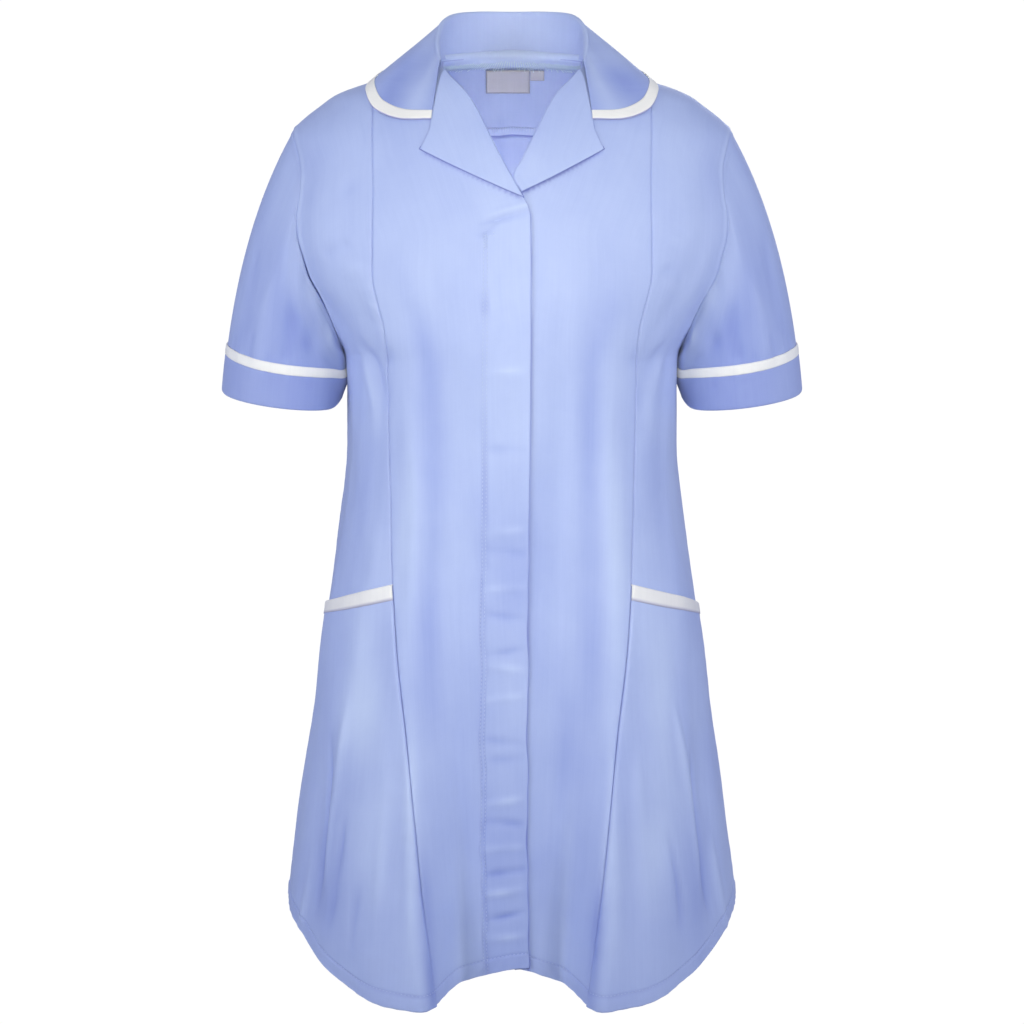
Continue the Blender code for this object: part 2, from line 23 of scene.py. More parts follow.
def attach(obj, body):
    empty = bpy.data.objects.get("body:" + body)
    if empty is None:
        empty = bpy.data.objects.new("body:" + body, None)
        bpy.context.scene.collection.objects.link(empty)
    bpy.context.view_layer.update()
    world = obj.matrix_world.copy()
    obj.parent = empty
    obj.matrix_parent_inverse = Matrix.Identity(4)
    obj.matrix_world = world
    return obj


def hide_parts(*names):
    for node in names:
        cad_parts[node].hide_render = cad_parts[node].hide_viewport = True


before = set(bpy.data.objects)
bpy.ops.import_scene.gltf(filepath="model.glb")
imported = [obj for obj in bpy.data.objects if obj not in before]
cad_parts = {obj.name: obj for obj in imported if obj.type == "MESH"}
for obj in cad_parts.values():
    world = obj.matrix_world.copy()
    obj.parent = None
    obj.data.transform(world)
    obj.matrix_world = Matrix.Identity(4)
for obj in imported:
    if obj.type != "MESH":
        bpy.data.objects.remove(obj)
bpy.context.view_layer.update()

Grid = np.ndarray
Table = dict[str, np.ndarray]
Surface = Callable[[Grid, Grid], Grid]
Line = Callable[[Grid], tuple[Grid, Grid]]
Pair = tuple[float, float]
Triple = tuple[float, float, float]
Colour = Triple
Tree = bpy.types.ShaderNodeTree
Socket = bpy.types.NodeSocket

MM = 0.001
WALL = 1.5
SEAM = 0.3
LAYER = WALL + SEAM
UNDERARM_ROW = 12
HEM_ROW = 27
YOKE_ROW = 4
UNDERARM_DROP = 256.0
THREADS = "threads"
DOUBLED = "doubled"
LINES = "lines"
# The name of the cloth's painted light and painted shade, and of the even tints of its trims and strips
PAINTED_SHADE_AND_TINT = "tones"

# Thickness of cloth of one layer, of a faced piece such as the collar, and of a folded trim
SINGLE = 0.7
FACED = 1.1
TRIM = 1.0

# A hem's fold and the depth of its turning, the pitch of a sheet's rows and columns, and the width of the
# groove that a row of stitches draws into the cloth
HEM_FOLD = 0.5
HEM_DEPTH = 13.0
PITCH = 2.9
GROOVE_WIDTH = 0.9

# The steps of a round fold in degrees, and how many of them lie before its middle
FOLD_ANGLES = (30, 60, 90, 120, 150, 180)
FOLD_HALF = 3

log = logging.getLogger("tunic")


def table(columns: str, *rows: tuple[float, ...]) -> Table:
    """The rows as one array for each named column.

    Args:
        columns: the names, with spaces between them.
        rows: one value for each name.

    Returns:
        The columns by name.
    """
    return {name: np.array(values, float) for name, values in zip(columns.split(), zip(*rows))}


# Level rings round the body. A curve of 1 makes an ellipse, and less makes the ring squarer.
RINGS = table(
    "drop half_width front back curve",
    (-6, 42, 20, 63, 1.00),
    (3, 62, 28, 64, 0.95),
    (9, 84, 36, 67, 0.90),
    (20, 120, 47, 73, 0.85),
    (31, 152, 57, 78, 0.83),
    (43, 170.5, 66, 83, 0.82),
    (62, 192.5, 79, 88, 0.80),
    (92, 200, 94, 94, 0.80),
    (120, 206, 104, 98, 0.80),
    (155, 208, 113, 101, 0.80),
    (190, 194, 119, 102, 0.80),
    (220, 171, 122, 101, 0.80),
    (240, 159, 123, 99, 0.80),
    (256, 150, 122.5, 97, 0.80),
    (275, 148.1, 121.5, 95.3, 0.81),
    (315, 148, 119, 92, 0.82),
    (378, 151, 118, 89, 0.84),
    (434, 159, 120, 92, 0.85),
    (500, 169.5, 130, 101, 0.87),
    (600, 183, 150, 119, 0.92),
    (700, 198.5, 171, 137, 0.97),
    (784, 208.5, 188, 153, 1.00),
    (816, 210, 194, 158, 1.00),
)

# The front falls in two flutes below the waist, with the centre panel standing back between them
CENTRE_HOLLOW = table(
    "drop depth inner outer",
    (400, 0, 46, 100),
    (500, 7, 46, 98),
    (600, 21, 45, 93),
    (700, 38, 43, 87),
    (816, 59, 42, 82),
)

# The main folds: where each starts and ends, its half width in degrees of turn and how far it stands out
FOLDS = table(
    "top_turn top low_turn low width rise",
    (38, 215, 27, 640, 7.0, 4.5),
    (18, 230, 14, 560, 7.0, -3.0),
    (66, 560, 62.4, 815, 7.0, -6.0),
    (47, 700, 44, 990, 5.0, -2.5),
    (104, 520, 110, 980, 9.0, -7.0),
    (134, 300, 140, 980, 10.0, 8.0),
    (180, 330, 180, 980, 13.0, -9.0),
    (158, 420, 160, 980, 9.0, 4.0),
)
FOLD_FADE = 2.2

# Drop of each lattice row at the neck or front edge, princess seam, armhole, back below the neck, centre back
ROWS = table(
    "front princess side nape_turn nape back",
    (3, 20, 62, 90, 3, -1),
    (6, 24, 65.5, 104, 12, 8.5),
    (13, 31, 72, 115, 27, 23),
    (22, 41, 83, 124, 50, 46),
    (32, 53, 99, 132, 83, 72),
    (45, 69, 118, 134, 97, 84),
    (65, 88, 138, 135, 113, 97),
    (83, 110, 158, 135, 135, 121),
    (100, 134, 178, 135, 158, 146),
    (126, 160, 198, 135, 182, 172),
    (168, 190, 218, 135, 207, 200),
    (212, 222, 240, 135, 232, 228),
    (256, 256, 256, 135, 256, 256),
)
HEM = {"front": 794.0, "princess": 817.0, "side": 770.0, "nape": 780.0, "back": 784.0}
HEM_FALL = (0.05, 1.45)
HEM_RISE = (0.17, 0.92)

# Half widths along three lines of the fronts, by drop. Past the centre, the front edge is below zero.
FRONT_EDGE = table(
    "drop x",
    (3, 62),
    (8, 61),
    (19, 52),
    (30, 40.5),
    (43, 31.5),
    (65, 20),
    (83, 10.3),
    (100, 0.5),
    (112, -7),
    (126, -14),
    (140, -15),
    (160, -15.2),
    (240, -15.2),
    (320, -14.6),
    (435, -13.5),
    (600, -12.6),
    (700, -12.8),
    (820, -15),
)
PRINCESS = table(
    "drop x",
    (20, 120),
    (52, 120.3),
    (110, 119.3),
    (160, 119.7),
    (190, 119),
    (209, 114.5),
    (226, 110.5),
    (287, 108),
    (374, 106),
    (448, 104.5),
    (530, 97.5),
    (600, 90.5),
    (660, 85),
    (720, 79),
    (764, 73),
    (820, 66),
)
ARMHOLE = table(
    "drop x",
    (62, 192.5),
    (76, 188),
    (92, 184),
    (117, 184.5),
    (134, 187),
    (155, 186),
    (169, 182),
    (189, 176),
    (203, 168.5),
    (220, 161),
    (240, 154),
    (256, 150),
)

# The lapels from the neck down to their tips: the roll line of the upper front's, that of the lower front's,
# which stops at the upper one, and the outer edge
LAPEL = table(
    "roll_drop roll_x beneath_drop beneath_x outer_drop outer_x",
    (12, 58.5, 12, 58.5, 16, 61.5),
    (19, 52, 19, 52, 32, 64.8),
    (30, 40.5, 30, 40.5, 44, 67.2),
    (43, 31.5, 43, 31.5, 51, 68.6),
    (65, 20, 65, 20, 60, 70),
    (83, 10.3, 83, 10.3, 67, 73),
    (100, 0.5, 98, 2.5, 73, 76),
    (114, -7.5, 110, 9, 76, 77.5),
)

# The collar from its front end to the centre back: the neck seam that it stands on, the top of its fold, its
# outer edge on the body, and how far the fall bows out between the two
COLLAR = table(
    "neck_turn neck roll_x roll_y roll edge_turn edge bow",
    (52, 8, 62.5, -28, 1, 22.3, 51, 8),
    (60, 6.5, 64, -17, -5, 32.0, 51, 8),
    (74, 4.5, 65, -7, -12, 42.5, 44, 7),
    (94, 3, 65, 6, -21, 57, 30, 6),
    (112, 2.5, 61.5, 22, -31, 84, 20, 5),
    (132, 1.5, 51.5, 41, -38, 112, 20, 4),
    (156, 0, 31, 60, -40, 143, 25, 3),
    (180, -1, 0, 68, -40, 180, 29, 3),
)
COLLAR_CROSSING = ("neck_turn", "roll_x", "edge_turn")

# Creases in the body's cloth. Each runs from one place to another, bowed sideways at its middle. Below zero
# it is a trough. Turns on the wearer's left are above zero.
BODY_CREASES = table(
    "from_turn from_drop to_turn to_drop width rise bow",
    (-45, 118, -39, 98, 6, -0.8, 2),
    (-52, 170, -42, 155, 6, -0.9, 2),
    (-47, 186, -38.5, 172, 4.5, 0.8, 1),
    (-44, 222, -40, 205, 4, 0.6, 1),
    (-50, 262, -41, 246, 5, -0.9, -2),
    (-58, 238, -48, 300, 7, -1.5, 5),
    (-62, 250, -54, 330, 8, 1.4, 6),
    (39, 176, 50, 190, 5, -0.9, 2),
    (40, 150, 47, 160, 5, 0.7, 1),
    (41, 250, 52, 262, 5, -0.8, -2),
    (58, 240, 49, 305, 7, -1.4, -5),
    (63, 252, 55, 325, 8, 1.3, -6),
    (-62, 590, -60, 770, 5, -3.4, 3),
    (-54, 560, -55, 740, 4, 2.4, -3),
    (-50, 660, -52, 765, 3.4, -2.6, 2),
    (-42, 715, -43, 790, 3, -1.8, -1),
    (-66, 700, -68, 790, 4, 2.0, 1),
    (-37, 600, -36, 760, 6, 1.4, 2),
    (60, 610, 61, 768, 5, -3.3, -3),
    (53, 560, 56, 745, 4, 2.3, 3),
    (45, 670, 47, 770, 3.4, -2.4, 2),
    (67, 690, 69, 790, 4, 1.9, -2),
    (37, 590, 36, 750, 6, 1.3, -2),
    (-28, 230, -24, 560, 10, -1.6, -2),
    (27, 225, 24, 560, 10, -1.6, 2),
    (-35, 300, -31, 520, 7, 0.8, 2),
    (34, 290, 30, 520, 7, 0.8, -2),
    (-16, 560, -12, 790, 9, -1.4, 3),
    (15, 580, 11, 800, 9, -1.2, -4),
    (-29.5, 545, -23.5, 805, 6, 1.5, -2),
    (29, 550, 23, 800, 6, 1.4, 2),
    (-3, 170, -3.5, 240, 3.0, -0.8, 0.5),
    (-177, 50, -176.4, 99, 3.2, -1.5, 0.5),
    (176, 60, 175.2, 98, 5.0, 0.9, 0.8),
    (118, 200, 128, 330, 9, -1.8, 6),
    (-121, 190, -130, 320, 9, -1.7, -6),
    (104, 255, 118, 300, 6, 1.4, -3),
    (-104, 252, -119, 306, 6, 1.3, 3),
    (146, 130, 155, 240, 10, -1.5, 5),
    (-150, 120, -157, 250, 10, -1.4, -5),
    (170, 380, 173, 600, 9, 1.7, 4),
    (-168, 400, -172, 640, 9, 1.6, -4),
    (124, 430, 128, 770, 8, -2.2, 5),
    (-126, 450, -130, 775, 8, -2.1, -5),
    (150, 520, 152, 780, 7, 1.9, -4),
    (-148, 500, -151, 780, 7, 2.0, 4),
    (98, 380, 100, 640, 7, -1.5, 3),
    (-98, 400, -101, 660, 7, -1.6, -3),
)
# Broad bands of painted shade on the body's cloth, below zero, and of painted light, above zero, where its
# hollows and crests fall, laid out as the creases are
BODY_PAINTED_SHADING = table(
    "from_turn from_drop to_turn to_drop width rise bow",
    (-28, 150, -27, 430, 12, -1.15, -2),
    (-27, 400, -22, 640, 13, -1.1, 0),
    (27, 150, 26, 430, 12, -1.1, 2),
    (26, 400, 21, 640, 13, -1.1, 0),
    (0, 330, 0, 520, 28, -1.4, 0),
    (8, 560, 7, 760, 13, -0.6, 0),
    (16, 500, 15, 650, 13, -0.9, 0),
    (-9, 480, -7, 600, 12, -0.5, 0),
    (8, 470, 7, 600, 13, -0.6, 0),
    (-15, 660, -13, 840, 14, 0.8, 0),
    (15, 670, 13, 840, 14, 0.6, 0),
    (-36, 290, -32, 560, 7, 0.7, 0),
    (35, 280, 31, 560, 7, 0.7, 0),
    (-29.5, 560, -23.5, 800, 4.5, 0.9, 0),
    (29, 560, 23, 800, 4.5, 0.8, 0),
    (-51, 455, -46, 630, 18, 1.9, 0),
    (51, 455, 45, 630, 18, 1.6, 0),
    (-38, 300, -37, 520, 9, 0.7, 0),
    (37, 300, 36, 520, 9, 0.9, 0),
    (-44, 600, -38, 740, 15, 1.0, 0),
    (44, 600, 38, 740, 15, 1.0, 0),
    (-23.6, 680, -18.9, 835, 4.0, -2.6, 0),
    (23.6, 690, 18.9, 835, 4.0, -2.4, 0),
    (-58, 300, -62, 470, 16, -0.5, 0),
    (58, 300, 62, 470, 16, -0.5, 0),
    (-60, 670, -50, 800, 20, -1.0, 0),
    (60, 670, 51, 800, 20, -1.0, 0),
    (-60, 60, -56, 150, 12, -0.5, 0),
    (60, 60, 56, 150, 12, -0.5, 0),
)
# The length in millimetres of a radian of turn, for widths across the creases
BODY_GIRTH = 150.0

# Short level wrinkles in the front strip beside the closing: their drop, half depth, rise, and how they tilt
PLACKET_WRINKLES = table(
    "drop depth rise tilt",
    (262, 3.6, 0.8, 0.10),
    (330, 4.5, -0.8, -0.06),
    (402, 3.4, 0.8, 0.12),
    (420, 4.2, -0.8, -0.10),
    (452, 3.2, 1.0, 0.06),
    (477, 3.2, -0.9, -0.14),
    (508, 3.0, -1.0, 0.16),
    (522, 3.4, 1.0, -0.10),
    (549, 3.4, 0.9, 0.14),
    (588, 3.8, -0.9, -0.12),
    (604, 4.0, -0.8, 0.05),
    (642, 3.2, 1.2, 0.20),
    (661, 3.6, -1.2, -0.06),
    (684, 3.0, 1.0, 0.10),
    (706, 3.2, -1.4, 0.14),
    (724, 3.4, 1.4, 0.18),
    (746, 2.8, -1.5, 0.22),
    (766, 3.0, 1.2, 0.10),
)

# Creases that the top fastening pulls into the upper front, laid out as the body's are
PULL_CREASES = table(
    "from_turn from_drop to_turn to_drop width rise bow",
    (10, 121.5, -8, 138.5, 1.5, -3.0, -1.2),
    (10, 117, -7, 134, 2.2, 1.6, -1.2),
    (-3, 136, -8.5, 147, 2.0, -1.5, 1.5),
)

# Long shallow waves that keep hanging cloth from lying dead flat
RIPPLES = table(
    "across down phase rise",
    (61, 330, 0.3, 0.42),
    (97, -260, 1.9, 0.45),
    (37, 410, 4.1, 0.20),
    (150, 120, 2.2, 0.30),
    (44, -95, 5.0, 0.13),
    (23, 240, 0.9, 0.10),
)

SLEEVE_HEM = {"x": 207.5, "y": -2.0, "drop": 301.0, "across": 53.0, "deep": 61.0, "tilt": 7.0}
SLEEVE_LEAVES = {"top": (0.50, 0.0, -0.84), "front": (0.30, -0.22, -0.93), "under": (0.10, 0.0, -0.995)}
SLEEVE_ENDS = (0.10, 0.0, -0.99)
SLEEVE_STEP_OUT = 0.8
SLEEVE_STEP_SHARE = 0.625

# Creases in the sleeves. A place goes round from the top of the sleeve, forwards above zero, and 12 is the
# underarm.
SLEEVE_CREASES = table(
    "from_place from_share to_place to_share width rise bow",
    (7.5, 0.30, 6.0, 0.80, 8, -1.5, 3),
    (4.6, 0.42, 4.4, 0.84, 7, 1.2, -2),
    (9.3, 0.10, 8.0, 0.62, 7, -1.6, 4),
    (10.4, 0.04, 9.6, 0.50, 5, 1.3, 3),
    (2.6, 0.35, 2.9, 0.84, 8, -1.1, 2),
    (2.2, 0.75, 2.1, 0.85, 2.2, -0.9, 0),
    (3.1, 0.72, 3.0, 0.85, 2.4, 0.8, 0),
    (3.9, 0.70, 3.7, 0.85, 2.6, -1.1, 0),
    (5.3, 0.73, 5.2, 0.86, 2.4, -0.9, 0),
    (6.7, 0.71, 6.5, 0.86, 2.6, 0.8, 0),
    (8.2, 0.74, 8.1, 0.86, 2.4, -0.7, 0),
    (-7.0, 0.28, -6.2, 0.80, 8, -1.6, -3),
    (-4.4, 0.40, -4.3, 0.84, 7, 1.2, 2),
    (-9.6, 0.10, -8.2, 0.60, 7, -1.5, -4),
    (-2.4, 0.36, -2.8, 0.84, 8, -1.0, 2),
    (-5.6, 0.74, -5.4, 0.86, 3, -0.6, 0),
)
SLEEVE_PLACE = 14.5
SLEEVE_LENGTH = 245.0


class Side(Enum):
    """The wearer's right side is on the viewer's left."""

    RIGHT = -1
    LEFT = 1

    @property
    def label(self) -> str:
        """The word that ends the names of this side's pieces."""
        return self.name.lower()


def smooth(stops: Grid, values: Grid, at: Grid) -> Grid:
    """Value at each place on a smooth line through the stops, held level past their ends.

    Args:
        stops: rising places.
        values: the value at each stop.
        at: the places asked for.

    Returns:
        The value at each of those places.
    """
    slope = np.gradient(values, stops)
    at = np.clip(at, stops[0], stops[-1])
    left = np.clip(np.searchsorted(stops, at, side="right") - 1, 0, len(stops) - 2)
    width = stops[left + 1] - stops[left]
    share = (at - stops[left]) / width
    rise = share * share * (3 - 2 * share)
    lead_in = share * (1 - share) ** 2 * slope[left]
    lead_out = share * share * (1 - share) * slope[left + 1]
    return values[left] + rise * (values[left + 1] - values[left]) + width * (lead_in - lead_out)


def step(share: Grid) -> Grid:
    """0 up to 0 and 1 from 1, and smooth between them."""
    share = np.clip(share, 0, 1)
    return share * share * (3 - 2 * share)


def bell(distance: Grid, width: float | Grid) -> Grid:
    """1 at no distance, and falling away softly over a width on both sides."""
    return np.exp(-((distance / width) ** 2))


def facing(surface: Surface, along: Grid, down: Grid) -> Grid:
    """Which way a surface faces at each place.

    Args:
        surface: gives a place for each pair of values.
        along: the first value, which goes across the surface.
        down: the second value, which goes down it.

    Returns:
        A unit vector for each place.
    """
    nudge = 0.02
    across = surface(along + nudge, down) - surface(along - nudge, down)
    lower = surface(along, down + nudge) - surface(along, down - nudge)
    outward = np.cross(lower, across)
    return outward / np.linalg.norm(outward, axis=-1, keepdims=True)


def steps_along(points: Grid, axis: int) -> Grid:
    """Distance from the first row or column to each point, measured along the cloth.

    Args:
        points: rows and columns of places.
        axis: 0 to go down the rows, 1 to go across the columns.

    Returns:
        One distance for each point.
    """
    gaps = np.linalg.norm(np.diff(points, axis=axis), axis=-1)
    start = np.zeros_like(gaps[:1] if axis == 0 else gaps[:, :1])
    return np.concatenate([start, np.cumsum(gaps, axis=axis)], axis=axis)


def run_of(points: Grid) -> Grid:
    """Distance from the first point of a line to each."""
    return np.concatenate([[0], np.cumsum(np.linalg.norm(np.diff(points, axis=0), axis=1))])


def point_at(at: float, run: Grid, values: Grid) -> Grid:
    """The point on a line, or the way that it faces, where the run along it has a value."""
    return np.array([np.interp(at, run, values[:, axis]) for axis in range(3)])


@dataclass(frozen=True)
class Creases:
    """Creases on a piece of cloth, as ridges and troughs with soft ends.

    Each wanders sideways, swells and spreads a little on its way, at rates of its own.
    """

    lines: Table
    across_scale: float
    down_scale: float = 1.0
    fade: float = 3.0
    begun: float = 0.2
    wander: float = 0.12
    uneven: float = 0.25
    rates: Triple = (9.7, 7.3, 5.1)

    def rise(self, across: Grid, down: Grid) -> Grid:
        """How far the creases lift the cloth; for bands of painted shade and light, their strength.

        Args:
            across: place across the cloth, in the lines' own unit.
            down: place down the cloth, in the lines' own unit.

        Returns:
            The lift of each place, outwards.
        """
        out = np.zeros(np.broadcast(across, down).shape)
        for x0, y0, x1, y1, width, rise, bow in zip(*self.lines.values()):
            start = np.array([x0 * self.across_scale, y0 * self.down_scale])
            run = np.array([x1 * self.across_scale, y1 * self.down_scale]) - start
            length = np.hypot(*run)
            run = run / length
            x = across * self.across_scale - start[0]
            y = down * self.down_scale - start[1]
            along = (x * run[0] + y * run[1]) / length
            beside = x * run[1] - y * run[0]
            begins = zip(self.rates, (x0, y0, x1))
            drift, swell, spread = (np.sin(rate * along + begin) for rate, begin in begins)
            middle = bow * np.sin(np.pi * np.clip(along, 0, 1)) + self.wander * bow * drift
            ends = step(along * self.fade + self.begun) * step((1 - along) * self.fade + self.begun)
            strength = ends * (1 + self.uneven * swell)
            out = out + rise * strength * bell(beside - middle, width * (1 + self.uneven * spread))
        return out


@dataclass(frozen=True)
class BodyForm:
    """The worn form that the panels lie on, and the lines that they are cut along."""

    creases: Creases = Creases(BODY_CREASES, math.radians(1) * BODY_GIRTH)
    # Bands of painted shade and light, and how much painted shade a crease lays in its trough and painted
    # light on its ridge
    shades: Creases = Creases(BODY_PAINTED_SHADING, math.radians(1) * BODY_GIRTH, fade=2.0)
    crease_tone: float = 0.4
    taut: float = 40.0
    slack: float = 160.0

    def ring(self, column: str, drop: Grid) -> Grid:
        """One size of the level ring at each drop."""
        return smooth(RINGS["drop"], RINGS[column], drop)

    def centre_hollow(self, x: Grid, drop: Grid) -> Grid:
        """How far the centre panel stands back from the flutes at its sides."""
        depth, inner, outer = (
            smooth(CENTRE_HOLLOW["drop"], CENTRE_HOLLOW[name], drop) for name in ("depth", "inner", "outer")
        )
        return np.maximum(depth, 0) * (1 - step((np.abs(x) - inner) / (outer - inner)))

    def folds(self, turn: Grid, drop: Grid) -> Grid:
        """How far the main folds push the cloth out at a place."""
        out = np.zeros(np.broadcast(turn, drop).shape)
        for top_turn, top, low_turn, low, width, rise in zip(*FOLDS.values()):
            along = (drop - top) / (low - top)
            middle = top_turn + (low_turn - top_turn) * along
            strength = step(along * FOLD_FADE) * step((1 - along) * FOLD_FADE)
            out = out + rise * strength * bell(np.abs(turn) - middle, width)
        return out

    def place(self, turn: Grid, drop: Grid) -> Grid:
        """Place of the body's cloth, without its small creases."""
        angle = np.radians(turn)
        across = np.sin(angle)
        ahead = np.cos(angle)
        depth = np.abs(ahead) ** self.ring("curve", drop)
        x = self.ring("half_width", drop) * across
        front = -self.ring("front", drop) * depth + self.centre_hollow(x, drop)
        y = np.where(ahead > 0, front, self.ring("back", drop) * depth)
        fold = self.folds(turn, drop)
        return np.stack([x + fold * across, y - fold * ahead, -drop + 0 * x], axis=-1)

    def outward(self, turn: Grid, drop: Grid) -> Grid:
        """Which way the body's cloth faces."""
        return facing(self.place, turn, drop)

    def relief(self, turn: Grid, drop: Grid) -> Grid:
        """How far creases and slack lift the cloth off the plain form.

        Args:
            turn: turns, above zero on the wearer's left.
            drop: drops below the origin.

        Returns:
            The lift of each place, outwards.
        """
        turn = np.mod(turn + 180, 360) - 180
        out = self.creases.rise(turn, drop)
        span = np.radians(turn) * BODY_GIRTH
        calm = step((drop - self.taut) / (self.slack - self.taut))
        for across, down, phase, rise in zip(*RIPPLES.values()):
            out = out + calm * rise * np.sin(2 * np.pi * (span / across + drop / down) + phase)
        return out

    def tones(self, turn: Grid, drop: Grid) -> Grid:
        """Painted light at each place, or painted shade below zero, on the turns that relief takes."""
        turn = np.mod(turn + 180, 360) - 180
        return self.crease_tone * self.creases.rise(turn, drop) + self.shades.rise(turn, drop)

    def turn_at(self, x: Grid, drop: Grid) -> Grid:
        """The turn at which the body is this wide from its centre line."""
        return np.degrees(np.arcsin(np.clip(x / self.ring("half_width", drop), -1, 1)))

    def turn_on(self, line: Table, drop: Grid) -> Grid:
        """The turn of a line of half widths at each drop."""
        return self.turn_at(smooth(line["drop"], line["x"], drop), drop)

    def row_drop(self, name: str, row: Grid) -> Grid:
        """Drop of a lattice row along a line. Below the underarm the rows are even."""
        span = (HEM[name] - UNDERARM_DROP) / (HEM_ROW - UNDERARM_ROW)
        lower = UNDERARM_DROP + (row - UNDERARM_ROW) * span
        return np.where(row <= UNDERARM_ROW, np.interp(row, range(UNDERARM_ROW + 1), ROWS[name]), lower)

    def front_edge(self, row: Grid) -> tuple[Grid, Grid]:
        """The roll line, and below it the edge of the closing."""
        drop = self.row_drop("front", row)
        return self.turn_on(FRONT_EDGE, drop), drop

    def princess_seam(self, row: Grid) -> tuple[Grid, Grid]:
        """The seam from the shoulder to the hem, between a front and a side front."""
        drop = self.row_drop("princess", row)
        return self.turn_on(PRINCESS, drop), drop

    def side_seam(self, row: Grid) -> tuple[Grid, Grid]:
        """The armhole, and below it the side seam."""
        drop = self.row_drop("side", row)
        return np.where(drop < UNDERARM_DROP, self.turn_on(ARMHOLE, drop), 90.0), drop

    def back_edge(self, row: Grid) -> tuple[Grid, Grid]:
        """The side seam and the back of the armhole, which mirrors the front of it."""
        turn, drop = self.side_seam(row)
        return 180 - turn, drop

    def nape_line(self, row: Grid) -> tuple[Grid, Grid]:
        """A line down each half of the back, from the neck end of the shoulder."""
        return np.interp(row, range(UNDERARM_ROW + 1), ROWS["nape_turn"]), self.row_drop("nape", row)

    def centre_back(self, row: Grid) -> tuple[Grid, Grid]:
        """The line down the middle of the back."""
        return np.full(len(row), 180.0), self.row_drop("back", row)

    def armhole_loop(self, place: Grid) -> Grid:
        """Points round an armhole from the shoulder point, down the front to the underarm and up the back."""
        place = np.mod(place, 2 * UNDERARM_ROW)
        behind = place > UNDERARM_ROW
        turn, drop = self.side_seam(np.where(behind, 2 * UNDERARM_ROW - place, place))
        return self.place(np.where(behind, 180 - turn, turn), drop)


FORM = BodyForm()


def between(first: Line, last: Line, rows: Grid, shares: Grid) -> tuple[Grid, Grid]:
    """Turns and drops of a panel's grid, ruled from one line of the lattice to another.

    Args:
        first: the line that the columns start from.
        last: the line that they end at.
        rows: lattice rows, whole or not.
        shares: where the columns stand, from 0 to 1.

    Returns:
        The turn and the drop of each place.
    """
    first_turn, first_drop = first(rows)
    last_turn, last_drop = last(rows)
    turn = first_turn[:, None] + shares[None, :] * (last_turn - first_turn)[:, None]
    drop = first_drop[:, None] + shares[None, :] * (last_drop - first_drop)[:, None]
    return turn, drop


def curved_hem(first: Line, last: Line, rows: Grid, shares: Grid, bend: Pair) -> tuple[Grid, Grid]:
    """Turns and drops of a panel whose rows below the underarm pass between its lines in a soft curve.

    Args:
        first: the line that the columns start from.
        last: the line that they end at.
        rows: lattice rows, whole or not.
        shares: where the columns stand, from 0 to 1.
        bend: the shares between which the rows fall or rise.

    Returns:
        The turn and the drop of each place.
    """
    turn, drop = between(first, last, rows, shares)
    curve = step((shares - bend[0]) / (bend[1] - bend[0]))
    curve = curve / curve[-1]
    fall = (last(rows)[1] - first(rows)[1]) * (rows > UNDERARM_ROW)
    return turn, drop + fall[:, None] * (curve - shares)


def back_grid(rows: Grid, shares: Grid) -> tuple[Grid, Grid]:
    """Turns and drops right across the back, from the wearer's left side to the right one."""
    outer_turn, outer_drop = between(FORM.back_edge, FORM.nape_line, rows, shares)
    inner_turn, inner_drop = between(FORM.nape_line, FORM.centre_back, rows, shares)
    turn = np.hstack([outer_turn, inner_turn[:, 1:]])
    drop = np.hstack([outer_drop, inner_drop[:, 1:]])
    return np.hstack([turn, 360 - turn[:, -2::-1]]), np.hstack([drop, drop[:, -2::-1]])


# Distances from an edge at which a sheet has a row or column, before its even pitch begins. Then those from a
# row of stitches, and how clear of it the even ones stay.
NEAR_EDGE = np.array([0.0, 0.5, 1.0, 1.6, 2.4, 3.5, 5.0])
NEAR_STITCHES = np.array([-1.6, -0.8, 0.0, 0.8, 1.6])
STITCHES_CLEAR = 2.2
TRIAL_SHARES = np.linspace(0, 1, 241)
TRIAL_ROWS = 20


def edged(length: float, pitch: float, sewn: tuple[float, ...] = ()) -> Grid:
    """Distances from 0 to a length at an even pitch, finer near both ends and at rows of stitches.

    Args:
        length: the last distance.
        pitch: the even distance between steps.
        sewn: distances from 0 of the rows of stitches, or from the end where they are below zero.

    Returns:
        Rising distances.
    """
    start = NEAR_EDGE[-1]
    count = max(int(round((length - 2 * start) / pitch)), 2)
    even = np.linspace(start, length - start, count + 1)
    for row in sewn:
        row = row if row > 0 else length + row
        even = np.concatenate([even[np.abs(even - row) > STITCHES_CLEAR], row + NEAR_STITCHES])
    return np.concatenate([NEAR_EDGE[:-1], np.sort(even), (length - NEAR_EDGE[:-1])[::-1]])


def even_rows(first: float, last: float, sewn: tuple[float, ...] = ()) -> Grid:
    """Lattice rows from one to another, at an even pitch down the cloth, and finer where edged has it so."""
    whole = np.unique(np.concatenate([[first], np.arange(math.ceil(first), math.floor(last) + 1), [last]]))
    reach = np.max([np.diff(FORM.row_drop(name, whole)) for name in HEM], axis=0)
    down = np.concatenate([[0], np.cumsum(reach)])
    return np.interp(edged(down[-1], PITCH, sewn), down, whole)


def even_shares(grid: Callable[[Grid], tuple[Grid, Grid]], sewn: tuple[float, ...] = ()) -> Grid:
    """Shares across a panel that give its columns an even pitch along the cloth, finer near both ends.

    Args:
        grid: gives the panel's turns and drops for some shares.
        sewn: distances across the panel of rows of stitches that run down it.

    Returns:
        Shares from 0 to 1.
    """
    mean = steps_along(FORM.place(*grid(TRIAL_SHARES)), axis=1).mean(axis=0)
    return np.interp(edged(mean[-1], PITCH, sewn), mean, TRIAL_SHARES)


